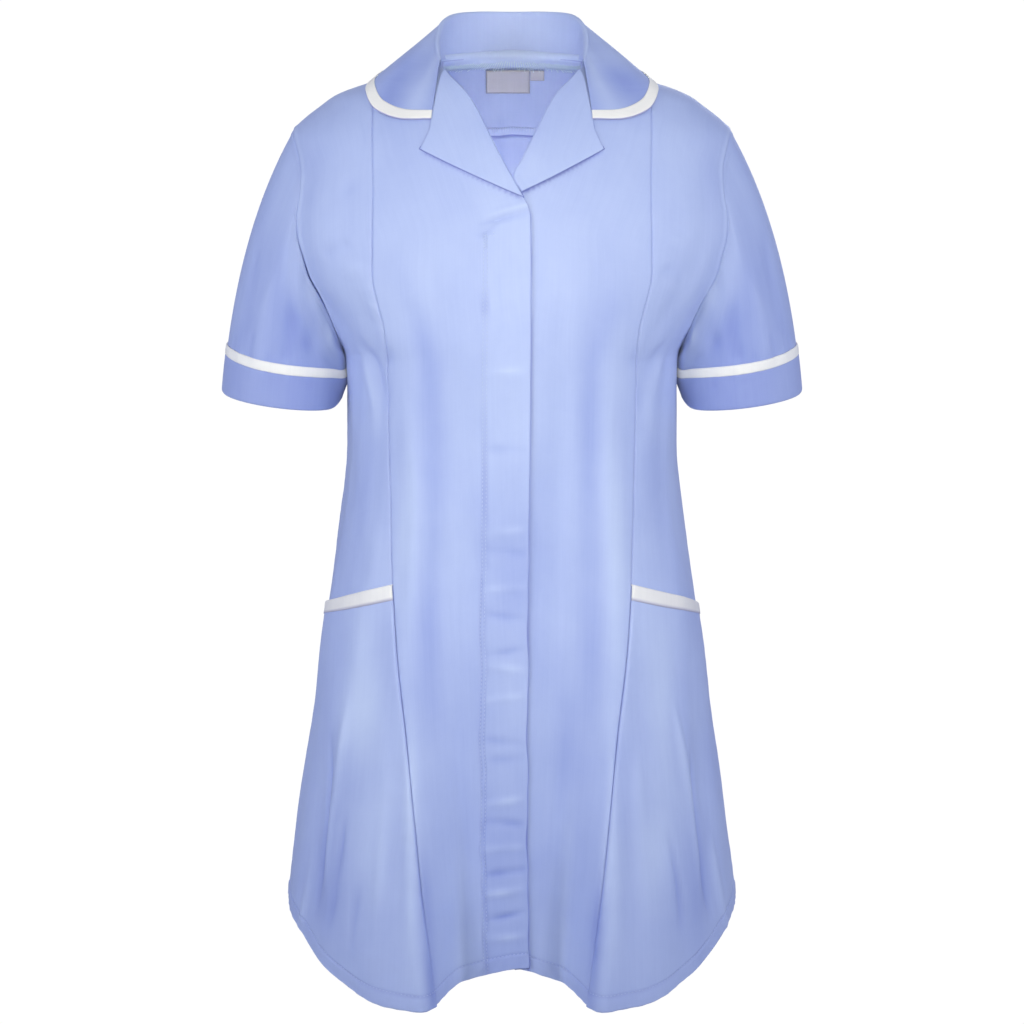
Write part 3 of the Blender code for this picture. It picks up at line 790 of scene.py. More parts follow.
@dataclass
class Cloth:
    """A sheet of cloth as a grid of places, with the way that each faces and three values for its colour.

    Doubled is 1 where the cloth lies in two layers, and lines is 1 in the depth of a seam or a row of
    stitches, and in a painted shadow, as under a lapel or on a fold's far side. The third value is painted
    shade below zero, as in a trough, and painted light above zero, as on a ridge; on the trims and the
    inside strips it is one even tint for each piece.
    """

    points: Grid
    outward: Grid
    doubled: Grid = field(default_factory=lambda: np.zeros(0))
    lines: Grid = field(default_factory=lambda: np.zeros(0))
    tones: Grid = field(default_factory=lambda: np.zeros(0))

    def __post_init__(self) -> None:
        """A sheet is single, even and has no seam unless told otherwise."""
        for name in (DOUBLED, LINES, PAINTED_SHADE_AND_TINT):
            if getattr(self, name).size == 0:
                setattr(self, name, np.zeros(self.points.shape[:2]))

    def arrays(self) -> tuple[Grid, ...]:
        """Everything that is kept for each place."""
        return self.points, self.outward, self.doubled, self.lines, self.tones

    def turned(self) -> "Cloth":
        """The same sheet with its rows and columns changed over."""
        return Cloth(*[array.swapaxes(0, 1) for array in self.arrays()])

    def upside_down(self) -> "Cloth":
        """The same sheet with its last row first."""
        return Cloth(*[array[::-1] for array in self.arrays()])

    def fold_last_row(
        self,
        radius: float,
        depth: float,
        turned_last: int = 0,
        turned_first: int = 0,
        shade: float = 0.0,
        show: float = 0.5,
    ) -> "Cloth":
        """The sheet with its last row turned inside in a round fold.

        Args:
            radius: of the fold.
            depth: how far the turning goes back up inside.
            turned_last: how many of the last columns were turned inside before.
            turned_first: how many of the first columns were.
            shade: how dark the painted shade on the fold's far side and its turning is, from 0 to 1.
            show: how far the turning shows through, from 0 to 1.

        Returns:
            The sheet with more rows.
        """
        ahead = self.points[-1] - self.points[-2]
        ahead = ahead / np.linalg.norm(ahead, axis=-1, keepdims=True)
        flips = np.ones(self.points.shape[:2])
        flips[:, flips.shape[1] - turned_last :] = -1
        flips[:, :turned_first] = -1
        facing_out = self.outward[-1] * flips[-1][:, None]
        centre = self.points[-1] - radius * facing_out
        points, outward = [self.points], [self.outward]
        for angle in np.radians(FOLD_ANGLES):
            spoke = math.cos(angle) * facing_out + math.sin(angle) * ahead
            points.append((centre + radius * spoke)[None])
            outward.append(spoke[None])
        back = steps_along(self.points[::-1], axis=0).mean(axis=1)
        count = int(np.searchsorted(back, depth))
        inside = slice(-2, -2 - count, -1)
        inwards = -self.outward[inside] * flips[inside][..., None]
        points.append(self.points[inside] + 2 * radius * inwards)
        outward.append(inwards)
        doubled = self.doubled.copy()
        doubled[-count - 1 :] = np.maximum(doubled[-count - 1 :], show)
        extra = np.ones((len(FOLD_ANGLES) + len(inwards), self.points.shape[1]))
        lines = np.concatenate([self.lines, 0 * extra])
        lines[len(self.points) + 1 :] = shade
        doubled = np.concatenate([doubled, extra])
        tones = np.concatenate([self.tones, extra * self.tones[-1:]])
        return Cloth(np.concatenate(points), np.concatenate(outward), doubled, lines, tones)

    def thread_lines(self) -> Grid:
        """Where each place lies on the flat cloth: across from the middle column, and down."""
        across = steps_along(self.points, axis=1)
        across = across - across[:, across.shape[1] // 2][:, None]
        return np.stack([across, -steps_along(self.points, axis=0)], axis=-1)

    def mesh(self, name: str, closed: bool) -> bpy.types.Mesh:
        """The sheet as a mesh that faces outwards.

        Args:
            name: of the mesh.
            closed: True where the last column meets the first.

        Returns:
            The mesh, with its thread lines as a UV map and its three values as attributes.
        """
        rows, columns = self.points.shape[:2]
        sheet = bmesh.new()
        bmesh.ops.create_grid(sheet, x_segments=columns - 1, y_segments=rows - 1, size=0.5)
        data = bpy.data.meshes.new(name)
        sheet.to_mesh(data)
        data.vertices.foreach_set("co", (self.points * MM).reshape(-1).astype(np.float32))
        corners = np.empty(len(data.loops), np.int32)
        data.loops.foreach_get("vertex_index", corners)
        threads = (self.thread_lines() * MM).reshape(-1, 2)[corners]
        data.uv_layers.new(name=THREADS).data.foreach_set("uv", threads.reshape(-1).astype(np.float32))
        for label in (DOUBLED, LINES, PAINTED_SHADE_AND_TINT):
            values = getattr(self, label).reshape(-1).astype("f")
            data.attributes.new(label, "FLOAT", "POINT").data.foreach_set("value", values)
        sheet.clear()
        sheet.from_mesh(data)
        across = np.gradient(self.points, axis=1)
        down = np.gradient(self.points, axis=0)
        if np.sum(np.cross(across, down) * self.outward) < 0:
            bmesh.ops.reverse_faces(sheet, faces=sheet.faces)
        if closed:
            bmesh.ops.remove_doubles(sheet, verts=sheet.verts, dist=1e-6)
        sheet.to_mesh(data)
        sheet.free()
        data.shade_smooth()
        return data


@dataclass(frozen=True)
class Stuff:
    """A material, and the name of a slot that is kept with it."""

    material: bpy.types.Material
    slot: str = "tunic_cloth"

    def piece(self, name: str, data: bpy.types.Mesh) -> bpy.types.Object:
        """Makes a mesh into a piece of this stuff, which rides on the tunic's one body."""
        data.materials.append(self.material)
        piece = bpy.data.objects.new(name, data)
        bpy.context.collection.objects.link(piece)
        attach(piece, "root")
        log.info("%s: %d faces", name, len(data.polygons))
        return piece


@dataclass(frozen=True)
class Cut:
    """What a piece is cut from: its rectangle in metres, its own area in it, and how it is held."""

    flat: Pair
    area: float | None = None
    held: str = "hung"


def sew_on(
    name: str,
    cloth: Cloth,
    stuff: Stuff,
    wall: float = SINGLE,
    closed: bool = False,
    dresses: bool = True,
) -> None:
    """Makes a sheet into a piece of the tunic.

    Args:
        name: of the piece: the solid that it dresses, and cloth or tape.
        cloth: the sheet.
        stuff: what it is made of.
        wall: its thickness.
        closed: True where the last column meets the first.
        dresses: False where there is no such solid.
    """
    piece = stuff.piece(name, cloth.mesh(name, closed))
    thicken = piece.modifiers.new("wall", "SOLIDIFY")
    thicken.thickness = wall * MM
    thicken.offset = 0.0
    thicken.use_quality_normals = True
    if dresses:
        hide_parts(name.rsplit("_", 1)[0])


@dataclass(frozen=True)
class SeamLook:
    """How cloth lies beside a plain seam: the groove, the lift over its turnings and the small puckers."""

    depth: float = 0.9
    width: float = 0.9
    lift: float = 0.16
    turning: float = 9.0
    turning_edge: float = 2.5
    pucker: float = 0.22
    reach: float = 6.0
    waves: Pair = (3.1, 5.3)
    drift: float = 17.0
    swell: float = 41.0
    shade: float = 0.5
    shade_width: float = 0.85
    chest_shade: float = 0.55
    chest_foot: float = 180.0
    chest_fade: float = 320.0

    def rise(self, distance: Grid, along: Grid, phase: float = 0.0) -> Grid:
        """How far the seam lifts the cloth.

        Args:
            distance: from the seam.
            along: distance along the seam.
            phase: shifts the puckers.

        Returns:
            The lift of each place, outwards.
        """
        groove = -self.depth * bell(distance, self.width)
        lift = self.lift * step((self.turning - distance) / self.turning_edge)
        first, second = self.waves
        waves = np.sin(along / first + 1.7 * np.sin(along / self.drift + phase))
        waves = waves + 0.6 * np.sin(along / second + 2.3 + phase)
        swell = 0.55 + 0.45 * np.sin(along / self.swell + 2 * phase)
        pucker = self.pucker * swell * waves * np.exp(-distance / self.reach) * step(distance / 1.5)
        return groove + lift + pucker

    def line(self, distance: Grid, drop: Grid) -> Grid:
        """How dark the cloth is beside the seam, from 0 to 1. It is fainter on the chest, and uneven.

        Args:
            distance: from the seam.
            drop: drops of the places, or distances along a level seam.

        Returns:
            The darkness of each place.
        """
        uneven = 0.8 + 0.13 * np.sin(drop / 21) + 0.1 * np.sin(drop / 6.7 + 1)
        below_chest = step((drop - self.chest_foot) / self.chest_fade)
        fainter = self.chest_shade + (1 - self.chest_shade) * below_chest
        return self.shade * uneven * fainter * bell(distance, self.shade_width)


PLAIN_SEAM = SeamLook()
ARMHOLE_SEAM = SeamLook(depth=0.3, lift=0.45, turning=6.0, shade=0.3)
POCKET_SEAM = SeamLook(depth=1.5, width=1.3, lift=0.0, pucker=0.42, reach=8.0)


def maths(tree: Tree, operation: str, *values: object) -> Socket:
    """A Math node's output.

    Args:
        tree: that it stands in.
        operation: of the node.
        values: a number or a socket for each of its inputs.

    Returns:
        The socket with the result.
    """
    node = tree.nodes.new("ShaderNodeMath")
    node.operation = operation
    for socket, value in zip(node.inputs, values):
        if isinstance(value, Socket):
            tree.links.new(value, socket)
        else:
            socket.default_value = value
    return node.outputs[0]


def mixed(
    tree: Tree,
    factor: Socket,
    first: Colour | Socket,
    second: Colour,
    blend: str = "MIX",
    clamped: bool = True,
) -> Socket:
    """A Mix node's colour.

    Args:
        tree: that it stands in.
        factor: the share of the second colour.
        first: a colour, or a socket with one.
        second: a colour.
        blend: how the second is laid on the first.
        clamped: False where the share may pass 0 and 1.

    Returns:
        The socket with the colour.
    """
    node = tree.nodes.new("ShaderNodeMix")
    node.data_type = "RGBA"
    node.blend_type = blend
    node.clamp_factor = clamped
    tree.links.new(factor, node.inputs["Factor"])
    if isinstance(first, Socket):
        tree.links.new(first, node.inputs["A"])
    else:
        node.inputs["A"].default_value = (*first, 1)
    node.inputs["B"].default_value = (*second, 1)
    return node.outputs["Result"]


def bumped(tree: Tree, height: Socket, distance: float, strength: float = 1.0) -> bpy.types.ShaderNodeBump:
    """A Bump node.

    Args:
        tree: that it stands in.
        height: the socket that it reads.
        distance: its height, in metres.
        strength: its strength.

    Returns:
        The node.
    """
    node = tree.nodes.new("ShaderNodeBump")
    node.inputs["Distance"].default_value = distance
    node.inputs["Strength"].default_value = strength
    tree.links.new(height, node.inputs["Height"])
    return node


def attribute(tree: Tree, name: str) -> Socket:
    """The socket with one of the cloth's values."""
    node = tree.nodes.new("ShaderNodeAttribute")
    node.attribute_name = name
    return node.outputs["Fac"]


class WeaveGroup:
    """The shared effects of woven cloth, as node groups. Noise has its features to a metre on each axis."""

    YARN_DOWN = (900, 16, 1)
    YARN_BROAD = (230, 5, 1)
    YARN_ACROSS = (22, 800, 1)
    PATCHES = (17, 17, 11)
    DENTS = (75, 75, 42)
    ROUGHNESS = 0.55
    THREAD_ROUND = 0.7

    def __init__(self) -> None:
        """Builds each group once."""
        self.weave = self.build_weave()
        self.slubs = self.build_slubs()
        self.rumple = self.build_rumple()

    @staticmethod
    def start(name: str, inputs: dict[str, str], outputs: tuple[str, ...]) -> Tree:
        """An empty group with its sockets and end nodes.

        Args:
            name: of the group.
            inputs: socket types by name.
            outputs: names of the values that it puts out.

        Returns:
            The group.
        """
        tree = bpy.data.node_groups.new(name, "ShaderNodeTree")
        for label, kind in inputs.items():
            tree.interface.new_socket(name=label, in_out="INPUT", socket_type=kind)
        for label in outputs:
            tree.interface.new_socket(name=label, in_out="OUTPUT", socket_type="NodeSocketFloat")
        tree.nodes.new("NodeGroupInput")
        tree.nodes.new("NodeGroupOutput")
        return tree

    @staticmethod
    def ends(tree: Tree) -> tuple[bpy.types.NodeOutputs, bpy.types.NodeInputs]:
        """The sockets that a group starts from, and those that it ends in."""
        return tree.nodes["Group Input"].outputs, tree.nodes["Group Output"].inputs

    def noise(self, tree: Tree, vector: Socket, stretch: Triple, detail: float) -> Socket:
        """Noise with a size of its own along each axis.

        Args:
            tree: that it stands in.
            vector: the place, in metres.
            stretch: how many features there are to a metre, on each axis.
            detail: of the noise.

        Returns:
            The socket with the noise.
        """
        mapping = tree.nodes.new("ShaderNodeMapping")
        mapping.inputs["Scale"].default_value = stretch
        tree.links.new(vector, mapping.inputs["Vector"])
        node = tree.nodes.new("ShaderNodeTexNoise")
        node.inputs["Scale"].default_value = 1.0
        node.inputs["Detail"].default_value = detail
        node.inputs["Roughness"].default_value = self.ROUGHNESS
        tree.links.new(mapping.outputs["Vector"], node.inputs["Vector"])
        return node.outputs["Fac"]

    def build_weave(self) -> Tree:
        """A plain weave: threads that pass over and under one another."""
        sockets = {"Vector": "NodeSocketVector", "Pitch": "NodeSocketFloat"}
        tree = self.start("Plain weave", sockets, ("Height", "Warp"))
        start, end = self.ends(tree)
        parts = tree.nodes.new("ShaderNodeSeparateXYZ")
        tree.links.new(start["Vector"], parts.inputs["Vector"])
        waves = []
        for axis in ("X", "Y"):
            turns = maths(tree, "DIVIDE", parts.outputs[axis], start["Pitch"])
            waves.append(maths(tree, "SINE", maths(tree, "MULTIPLY", turns, math.pi)))
        crossing = maths(tree, "MULTIPLY", *waves)
        height = maths(tree, "POWER", maths(tree, "ABSOLUTE", crossing), self.THREAD_ROUND)
        tree.links.new(height, end["Height"])
        tree.links.new(maths(tree, "MULTIPLY_ADD", maths(tree, "SIGN", crossing), 0.5, 0.5), end["Warp"])
        return tree

    def build_slubs(self) -> Tree:
        """Uneven yarn: faint streaks down the cloth, and fainter ones across it."""
        tree = self.start("Slubs", {"Vector": "NodeSocketVector"}, ("Streaks",))
        start, end = self.ends(tree)
        down = self.noise(tree, start["Vector"], self.YARN_DOWN, 3)
        broad = self.noise(tree, start["Vector"], self.YARN_BROAD, 2)
        across = self.noise(tree, start["Vector"], self.YARN_ACROSS, 3)
        streaks = maths(tree, "MULTIPLY_ADD", down, 0.45, maths(tree, "MULTIPLY", across, 0.20))
        tree.links.new(maths(tree, "MULTIPLY_ADD", broad, 0.35, streaks), end["Streaks"])
        return tree

    def build_rumple(self) -> Tree:
        """The unevenness of cloth that has been pressed: soft patches and small shallow dents."""
        tree = self.start("Rumple", {"Vector": "NodeSocketVector"}, ("Patches", "Dents"))
        start, end = self.ends(tree)
        tree.links.new(self.noise(tree, start["Vector"], self.PATCHES, 4), end["Patches"])
        tree.links.new(self.noise(tree, start["Vector"], self.DENTS, 2.5), end["Dents"])
        return tree


@dataclass(frozen=True)
class ClothFinish:
    """A woven cloth: its two thread colours, weave, unevenness and gloss."""

    name: str
    light: Colour
    dark: Colour
    pitch: float = 0.00042
    weave_depth: float = 0.00006
    weave_strength: float = 0.5
    dent_depth: float = 0.0007
    dent_strength: float = 0.6
    streaks: float = 1.76
    streak_height: float = 1.6
    blotches: float = 2.3
    warp: float = 0.14
    doubled_shade: float = 0.91
    seam_shade: Colour = (0.4, 0.4, 0.75)
    roughness: float = 0.66
    rough_streaks: float = 0.25
    sheen: float = 0.10
    sheen_roughness: float = 0.45
    specular: float = 0.9
    ior: float = 1.62

    def build(self, groups: WeaveGroup) -> bpy.types.Material:
        """Makes the material.

        Args:
            groups: the shared effects.

        Returns:
            The material, which reads the piece's thread lines and the cloth's values.
        """
        made = bpy.data.materials.new(self.name)
        made.use_nodes = True
        tree = made.node_tree
        shader = tree.nodes["Principled BSDF"]
        threads = tree.nodes.new("ShaderNodeUVMap")
        threads.uv_map = THREADS
        places = tree.nodes.new("ShaderNodeTexCoord")
        effects = []
        for group, vector in (
            (groups.weave, threads.outputs["UV"]),
            (groups.slubs, threads.outputs["UV"]),
            (groups.rumple, places.outputs["Object"]),
        ):
            node = tree.nodes.new("ShaderNodeGroup")
            node.node_tree = group
            tree.links.new(vector, node.inputs["Vector"])
            effects.append(node)
        weave, slubs, rumple = effects
        weave.inputs["Pitch"].default_value = self.pitch
        streaks = slubs.outputs["Streaks"]

        spread = maths(tree, "SUBTRACT", streaks, 0.5)
        blotch = maths(tree, "SUBTRACT", rumple.outputs["Patches"], 0.5)
        share = maths(tree, "MULTIPLY_ADD", spread, self.streaks, 0.5)
        share = maths(tree, "MULTIPLY_ADD", blotch, self.blotches, share)
        share = maths(tree, "MULTIPLY_ADD", weave.outputs["Warp"], self.warp, share)
        # Painted light and painted shade, and the even tints, move the colour between the dark and the light
        # thread colours
        share = maths(tree, "ADD", share, attribute(tree, PAINTED_SHADE_AND_TINT))
        colour = mixed(tree, share, self.dark, self.light, clamped=False)
        faced = (self.doubled_shade, self.doubled_shade, 0.5 + 0.5 * self.doubled_shade)
        colour = mixed(tree, attribute(tree, DOUBLED), colour, faced, "MULTIPLY")
        # Lines darkens the colour at seams and stitches and in the painted shadows
        seam = tuple(shade * value for shade, value in zip(self.seam_shade, self.dark))
        colour = mixed(tree, attribute(tree, LINES), colour, seam)
        tree.links.new(colour, shader.inputs["Base Color"])

        rough = maths(tree, "MULTIPLY_ADD", spread, self.rough_streaks, self.roughness)
        tree.links.new(rough, shader.inputs["Roughness"])
        dents = bumped(tree, rumple.outputs["Dents"], self.dent_depth, self.dent_strength)
        height = maths(tree, "MULTIPLY_ADD", streaks, self.streak_height, weave.outputs["Height"])
        woven = bumped(tree, height, self.weave_depth, self.weave_strength)
        tree.links.new(dents.outputs["Normal"], woven.inputs["Normal"])
        tree.links.new(woven.outputs["Normal"], shader.inputs["Normal"])
        shader.inputs["Sheen Weight"].default_value = self.sheen
        shader.inputs["Sheen Roughness"].default_value = self.sheen_roughness
        shader.inputs["Specular IOR Level"].default_value = self.specular
        shader.inputs["IOR"].default_value = self.ior
        return made


@dataclass(frozen=True)
class ThreadFinish:
    """Twisted sewing thread, which is paler and darker along its twist."""

    name: str
    colour: Colour
    twist: float = 2600.0
    darker: float = 0.8
    paler: float = 1.1
    palest: float = 0.95
    twist_depth: float = 0.00008
    roughness: float = 0.55

    def build(self) -> bpy.types.Material:
        """Makes the material."""
        made = bpy.data.materials.new(self.name)
        made.use_nodes = True
        tree = made.node_tree
        shader = tree.nodes["Principled BSDF"]
        places = tree.nodes.new("ShaderNodeTexCoord")
        twist = tree.nodes.new("ShaderNodeTexNoise")
        twist.inputs["Scale"].default_value = self.twist
        tree.links.new(places.outputs["Object"], twist.inputs["Vector"])
        dark = tuple(self.darker * value for value in self.colour)
        pale = tuple(min(self.paler * value, self.palest) for value in self.colour)
        tree.links.new(mixed(tree, twist.outputs["Fac"], dark, pale), shader.inputs["Base Color"])
        bump = bumped(tree, twist.outputs["Fac"], self.twist_depth)
        tree.links.new(bump.outputs["Normal"], shader.inputs["Normal"])
        shader.inputs["Roughness"].default_value = self.roughness
        return made


class Finishes:
    """Every material of the tunic."""

    def __init__(self) -> None:
        """Builds the shared groups and the materials."""
        groups = WeaveGroup()
        blue = ClothFinish("Pale blue poly-cotton", light=(0.395, 0.48, 0.795), dark=(0.34, 0.42, 0.755))
        white = ClothFinish(
            "White binding", (0.89, 0.875, 0.86), (0.80, 0.785, 0.79), dent_depth=0.0004, doubled_shade=1.0
        )
        tape = ClothFinish(
            "Grey label tape",
            (0.43, 0.42, 0.50),
            (0.37, 0.36, 0.44),
            pitch=0.0003,
            dent_depth=0.0003,
            doubled_shade=1.0,
            roughness=0.45,
        )
        self.blue = Stuff(blue.build(groups))
        self.white = Stuff(white.build(groups), "white_trim")
        self.tape = Stuff(tape.build(groups), "label_cloth")
        self.blue_thread = Stuff(ThreadFinish("Blue sewing thread", (0.50, 0.585, 0.85)).build())
        self.pale_thread = Stuff(ThreadFinish("Pale overlock thread", (0.72, 0.86, 1.08)).build())


@dataclass
class Stitches:
    """Rows of stitches, each stitch a short rounded length of thread that is half sunk in the cloth."""

    name: str
    length: float = 2.5
    gap: float = 1.0
    thickness: float = 0.62
    sunk: float = 0.12
    ahead: float = 0.4
    made: bmesh.types.BMesh = field(default_factory=bmesh.new)

    def stitch(self, place: Grid, ahead: Grid, outward: Grid, thickness: float) -> None:
        """One stitch.

        Args:
            place: its middle.
            ahead: half of it, from its middle to its end.
            outward: which way the cloth faces.
            thickness: of the thread.
        """
        half = thickness / 2
        beside = np.cross(outward, ahead)
        beside = half * beside / max(np.linalg.norm(beside), 1e-6)
        rows = np.stack([ahead, beside, half * outward, place], axis=1) * MM
        matrix = Matrix([*rows.tolist(), [0, 0, 0, 1]])
        bmesh.ops.create_icosphere(self.made, subdivisions=1, radius=1.0, matrix=matrix)

    def row(self, places: Grid, outward: Grid) -> None:
        """Sews a row of stitches along a line.

        Args:
            places: points on the line, on the face of the cloth.
            outward: which way the cloth faces at each.
        """
        run = run_of(places)
        count = max(int(run[-1] / (self.length + self.gap)), 1)
        middles = (np.arange(count) + 0.5) * run[-1] / count
        uneven = 0.12 * np.sin(middles * 1.7) + 0.08 * np.sin(middles * 0.61 + 1)
        for middle, drift in zip(middles, uneven):
            nearby = (0.0, -self.ahead, self.ahead)
            place, before, after = (point_at(middle + by, run, places) for by in nearby)
            facing_out = point_at(middle, run, outward)
            ahead = (after - before) / max(np.linalg.norm(after - before), 1e-6)
            side = np.cross(facing_out, ahead)
            place = place + drift * side + (self.thickness / 2 - self.sunk) * facing_out
            self.stitch(place, ahead * self.length / 2, facing_out, self.thickness)

    def finish(self, thread: Stuff) -> None:
        """Makes the rows into one piece, of this thread."""
        data = bpy.data.meshes.new(self.name)
        self.made.to_mesh(data)
        self.made.free()
        data.shade_smooth()
        thread.piece(self.name, data)


def sewn_groove(distance: Grid) -> Grid:
    """How a row of stitches draws the cloth in, 1 at the row."""
    return bell(distance, GROOVE_WIDTH)


def line_on(sheet: Cloth, distance: Grid, wanted: float) -> tuple[Grid, Grid]:
    """Points down a sheet of single cloth at a wanted distance across it, on its face.

    Args:
        sheet: the cloth.
        distance: how far across it each place lies.
        wanted: the distance asked for.

    Returns:
        One point for each row, and which way the cloth faces there.
    """
    points, outward = (
        np.array([point_at(wanted, run, values) for run, values in zip(distance, array)])
        for array in (sheet.points, sheet.outward)
    )
    return points + outward * SINGLE / 2, outward


@dataclass(frozen=True)
class HemLook:
    """A hem's turning: its lift, the groove of its stitches and the small slanted waves where it is eased."""

    lift: float = 0.3
    groove: float = 0.4
    pucker: float = 0.32
    shade: float = 0.22
    lift_edge: float = 1.5
    wave: float = 2.1
    slant: float = 0.7

    def rise(self, above: Grid, along: Grid) -> Grid:
        """How far the hem lifts the cloth.

        Args:
            above: how far each place lies above the hem's edge.
            along: distance along the hem.

        Returns:
            The lift of each place, outwards.
        """
        waves = np.sin((along + self.slant * above) / self.wave + 1.3 * np.sin(along / 19))
        waves = waves * (0.5 + 0.5 * np.sin(along / 33))
        pucker = self.pucker * waves * step((HEM_DEPTH + 1 - above) / 4)
        turning = self.lift * step((HEM_DEPTH - above) / self.lift_edge)
        return turning - self.groove * sewn_groove(above - HEM_DEPTH) + pucker

    def line(self, above: Grid) -> Grid:
        """How dark the row of stitches is, from 0 to 1."""
        return self.shade * sewn_groove(above - HEM_DEPTH)

    @staticmethod
    def sew(stitches: Stitches, sheet: Cloth, above: Grid) -> None:
        """Sews the row that holds a hem up, on a sheet that isn't turned yet."""
        stitches.row(*line_on(sheet.upside_down().turned(), above[::-1].swapaxes(0, 1), HEM_DEPTH))


PLAIN_HEM = HemLook()
SIDE_HEM = HemLook(groove=0.0, pucker=0.0, shade=0.0)
POCKET_HEM = HemLook(lift=0.35, pucker=1.4 * 0.32)


class Laid:
    """A panel laid on the worn form, with the distance of each place from its edges, and its seams."""

    def __init__(self, turn: Grid, drop: Grid) -> None:
        """Lays a panel's places, with turns above zero on the wearer's left."""
        self.turn, self.drop = turn, drop
        self.base = FORM.place(turn, drop)
        self.outward = FORM.outward(turn, drop)
        self.lift = FORM.relief(turn, drop)
        self.tones = FORM.tones(turn, drop)
        self.lines = np.zeros(drop.shape)
        self.across = steps_along(self.base, axis=1)
        self.to_last = self.across[:, -1:] - self.across
        self.down = steps_along(self.base, axis=0)
        self.to_foot = self.down[-1:] - self.down

    def darken(self, lines: Grid) -> None:
        """Adds a dark line: a seam, a row of stitches or a painted shadow."""
        self.lines = np.maximum(self.lines, lines)

    def seam(
        self,
        distance: Grid,
        along: Grid,
        phase: float,
        look: SeamLook = PLAIN_SEAM,
        share: Grid | float = 1.0,
    ) -> None:
        """Adds a seam, from the distance to it and along it. The share is how much of it each place takes."""
        self.lift = self.lift + share * look.rise(distance, along, phase)
        self.darken(look.line(distance, self.drop))

    def hem(self, look: HemLook) -> None:
        """Adds a hem at the foot."""
        self.lift = self.lift + look.rise(self.to_foot, self.across)
        self.darken(look.line(self.to_foot))

    def sheet(self) -> Cloth:
        """The panel's sheet."""
        points = self.base + self.outward * self.lift[..., None]
        return Cloth(points, self.outward, lines=self.lines, tones=self.tones)


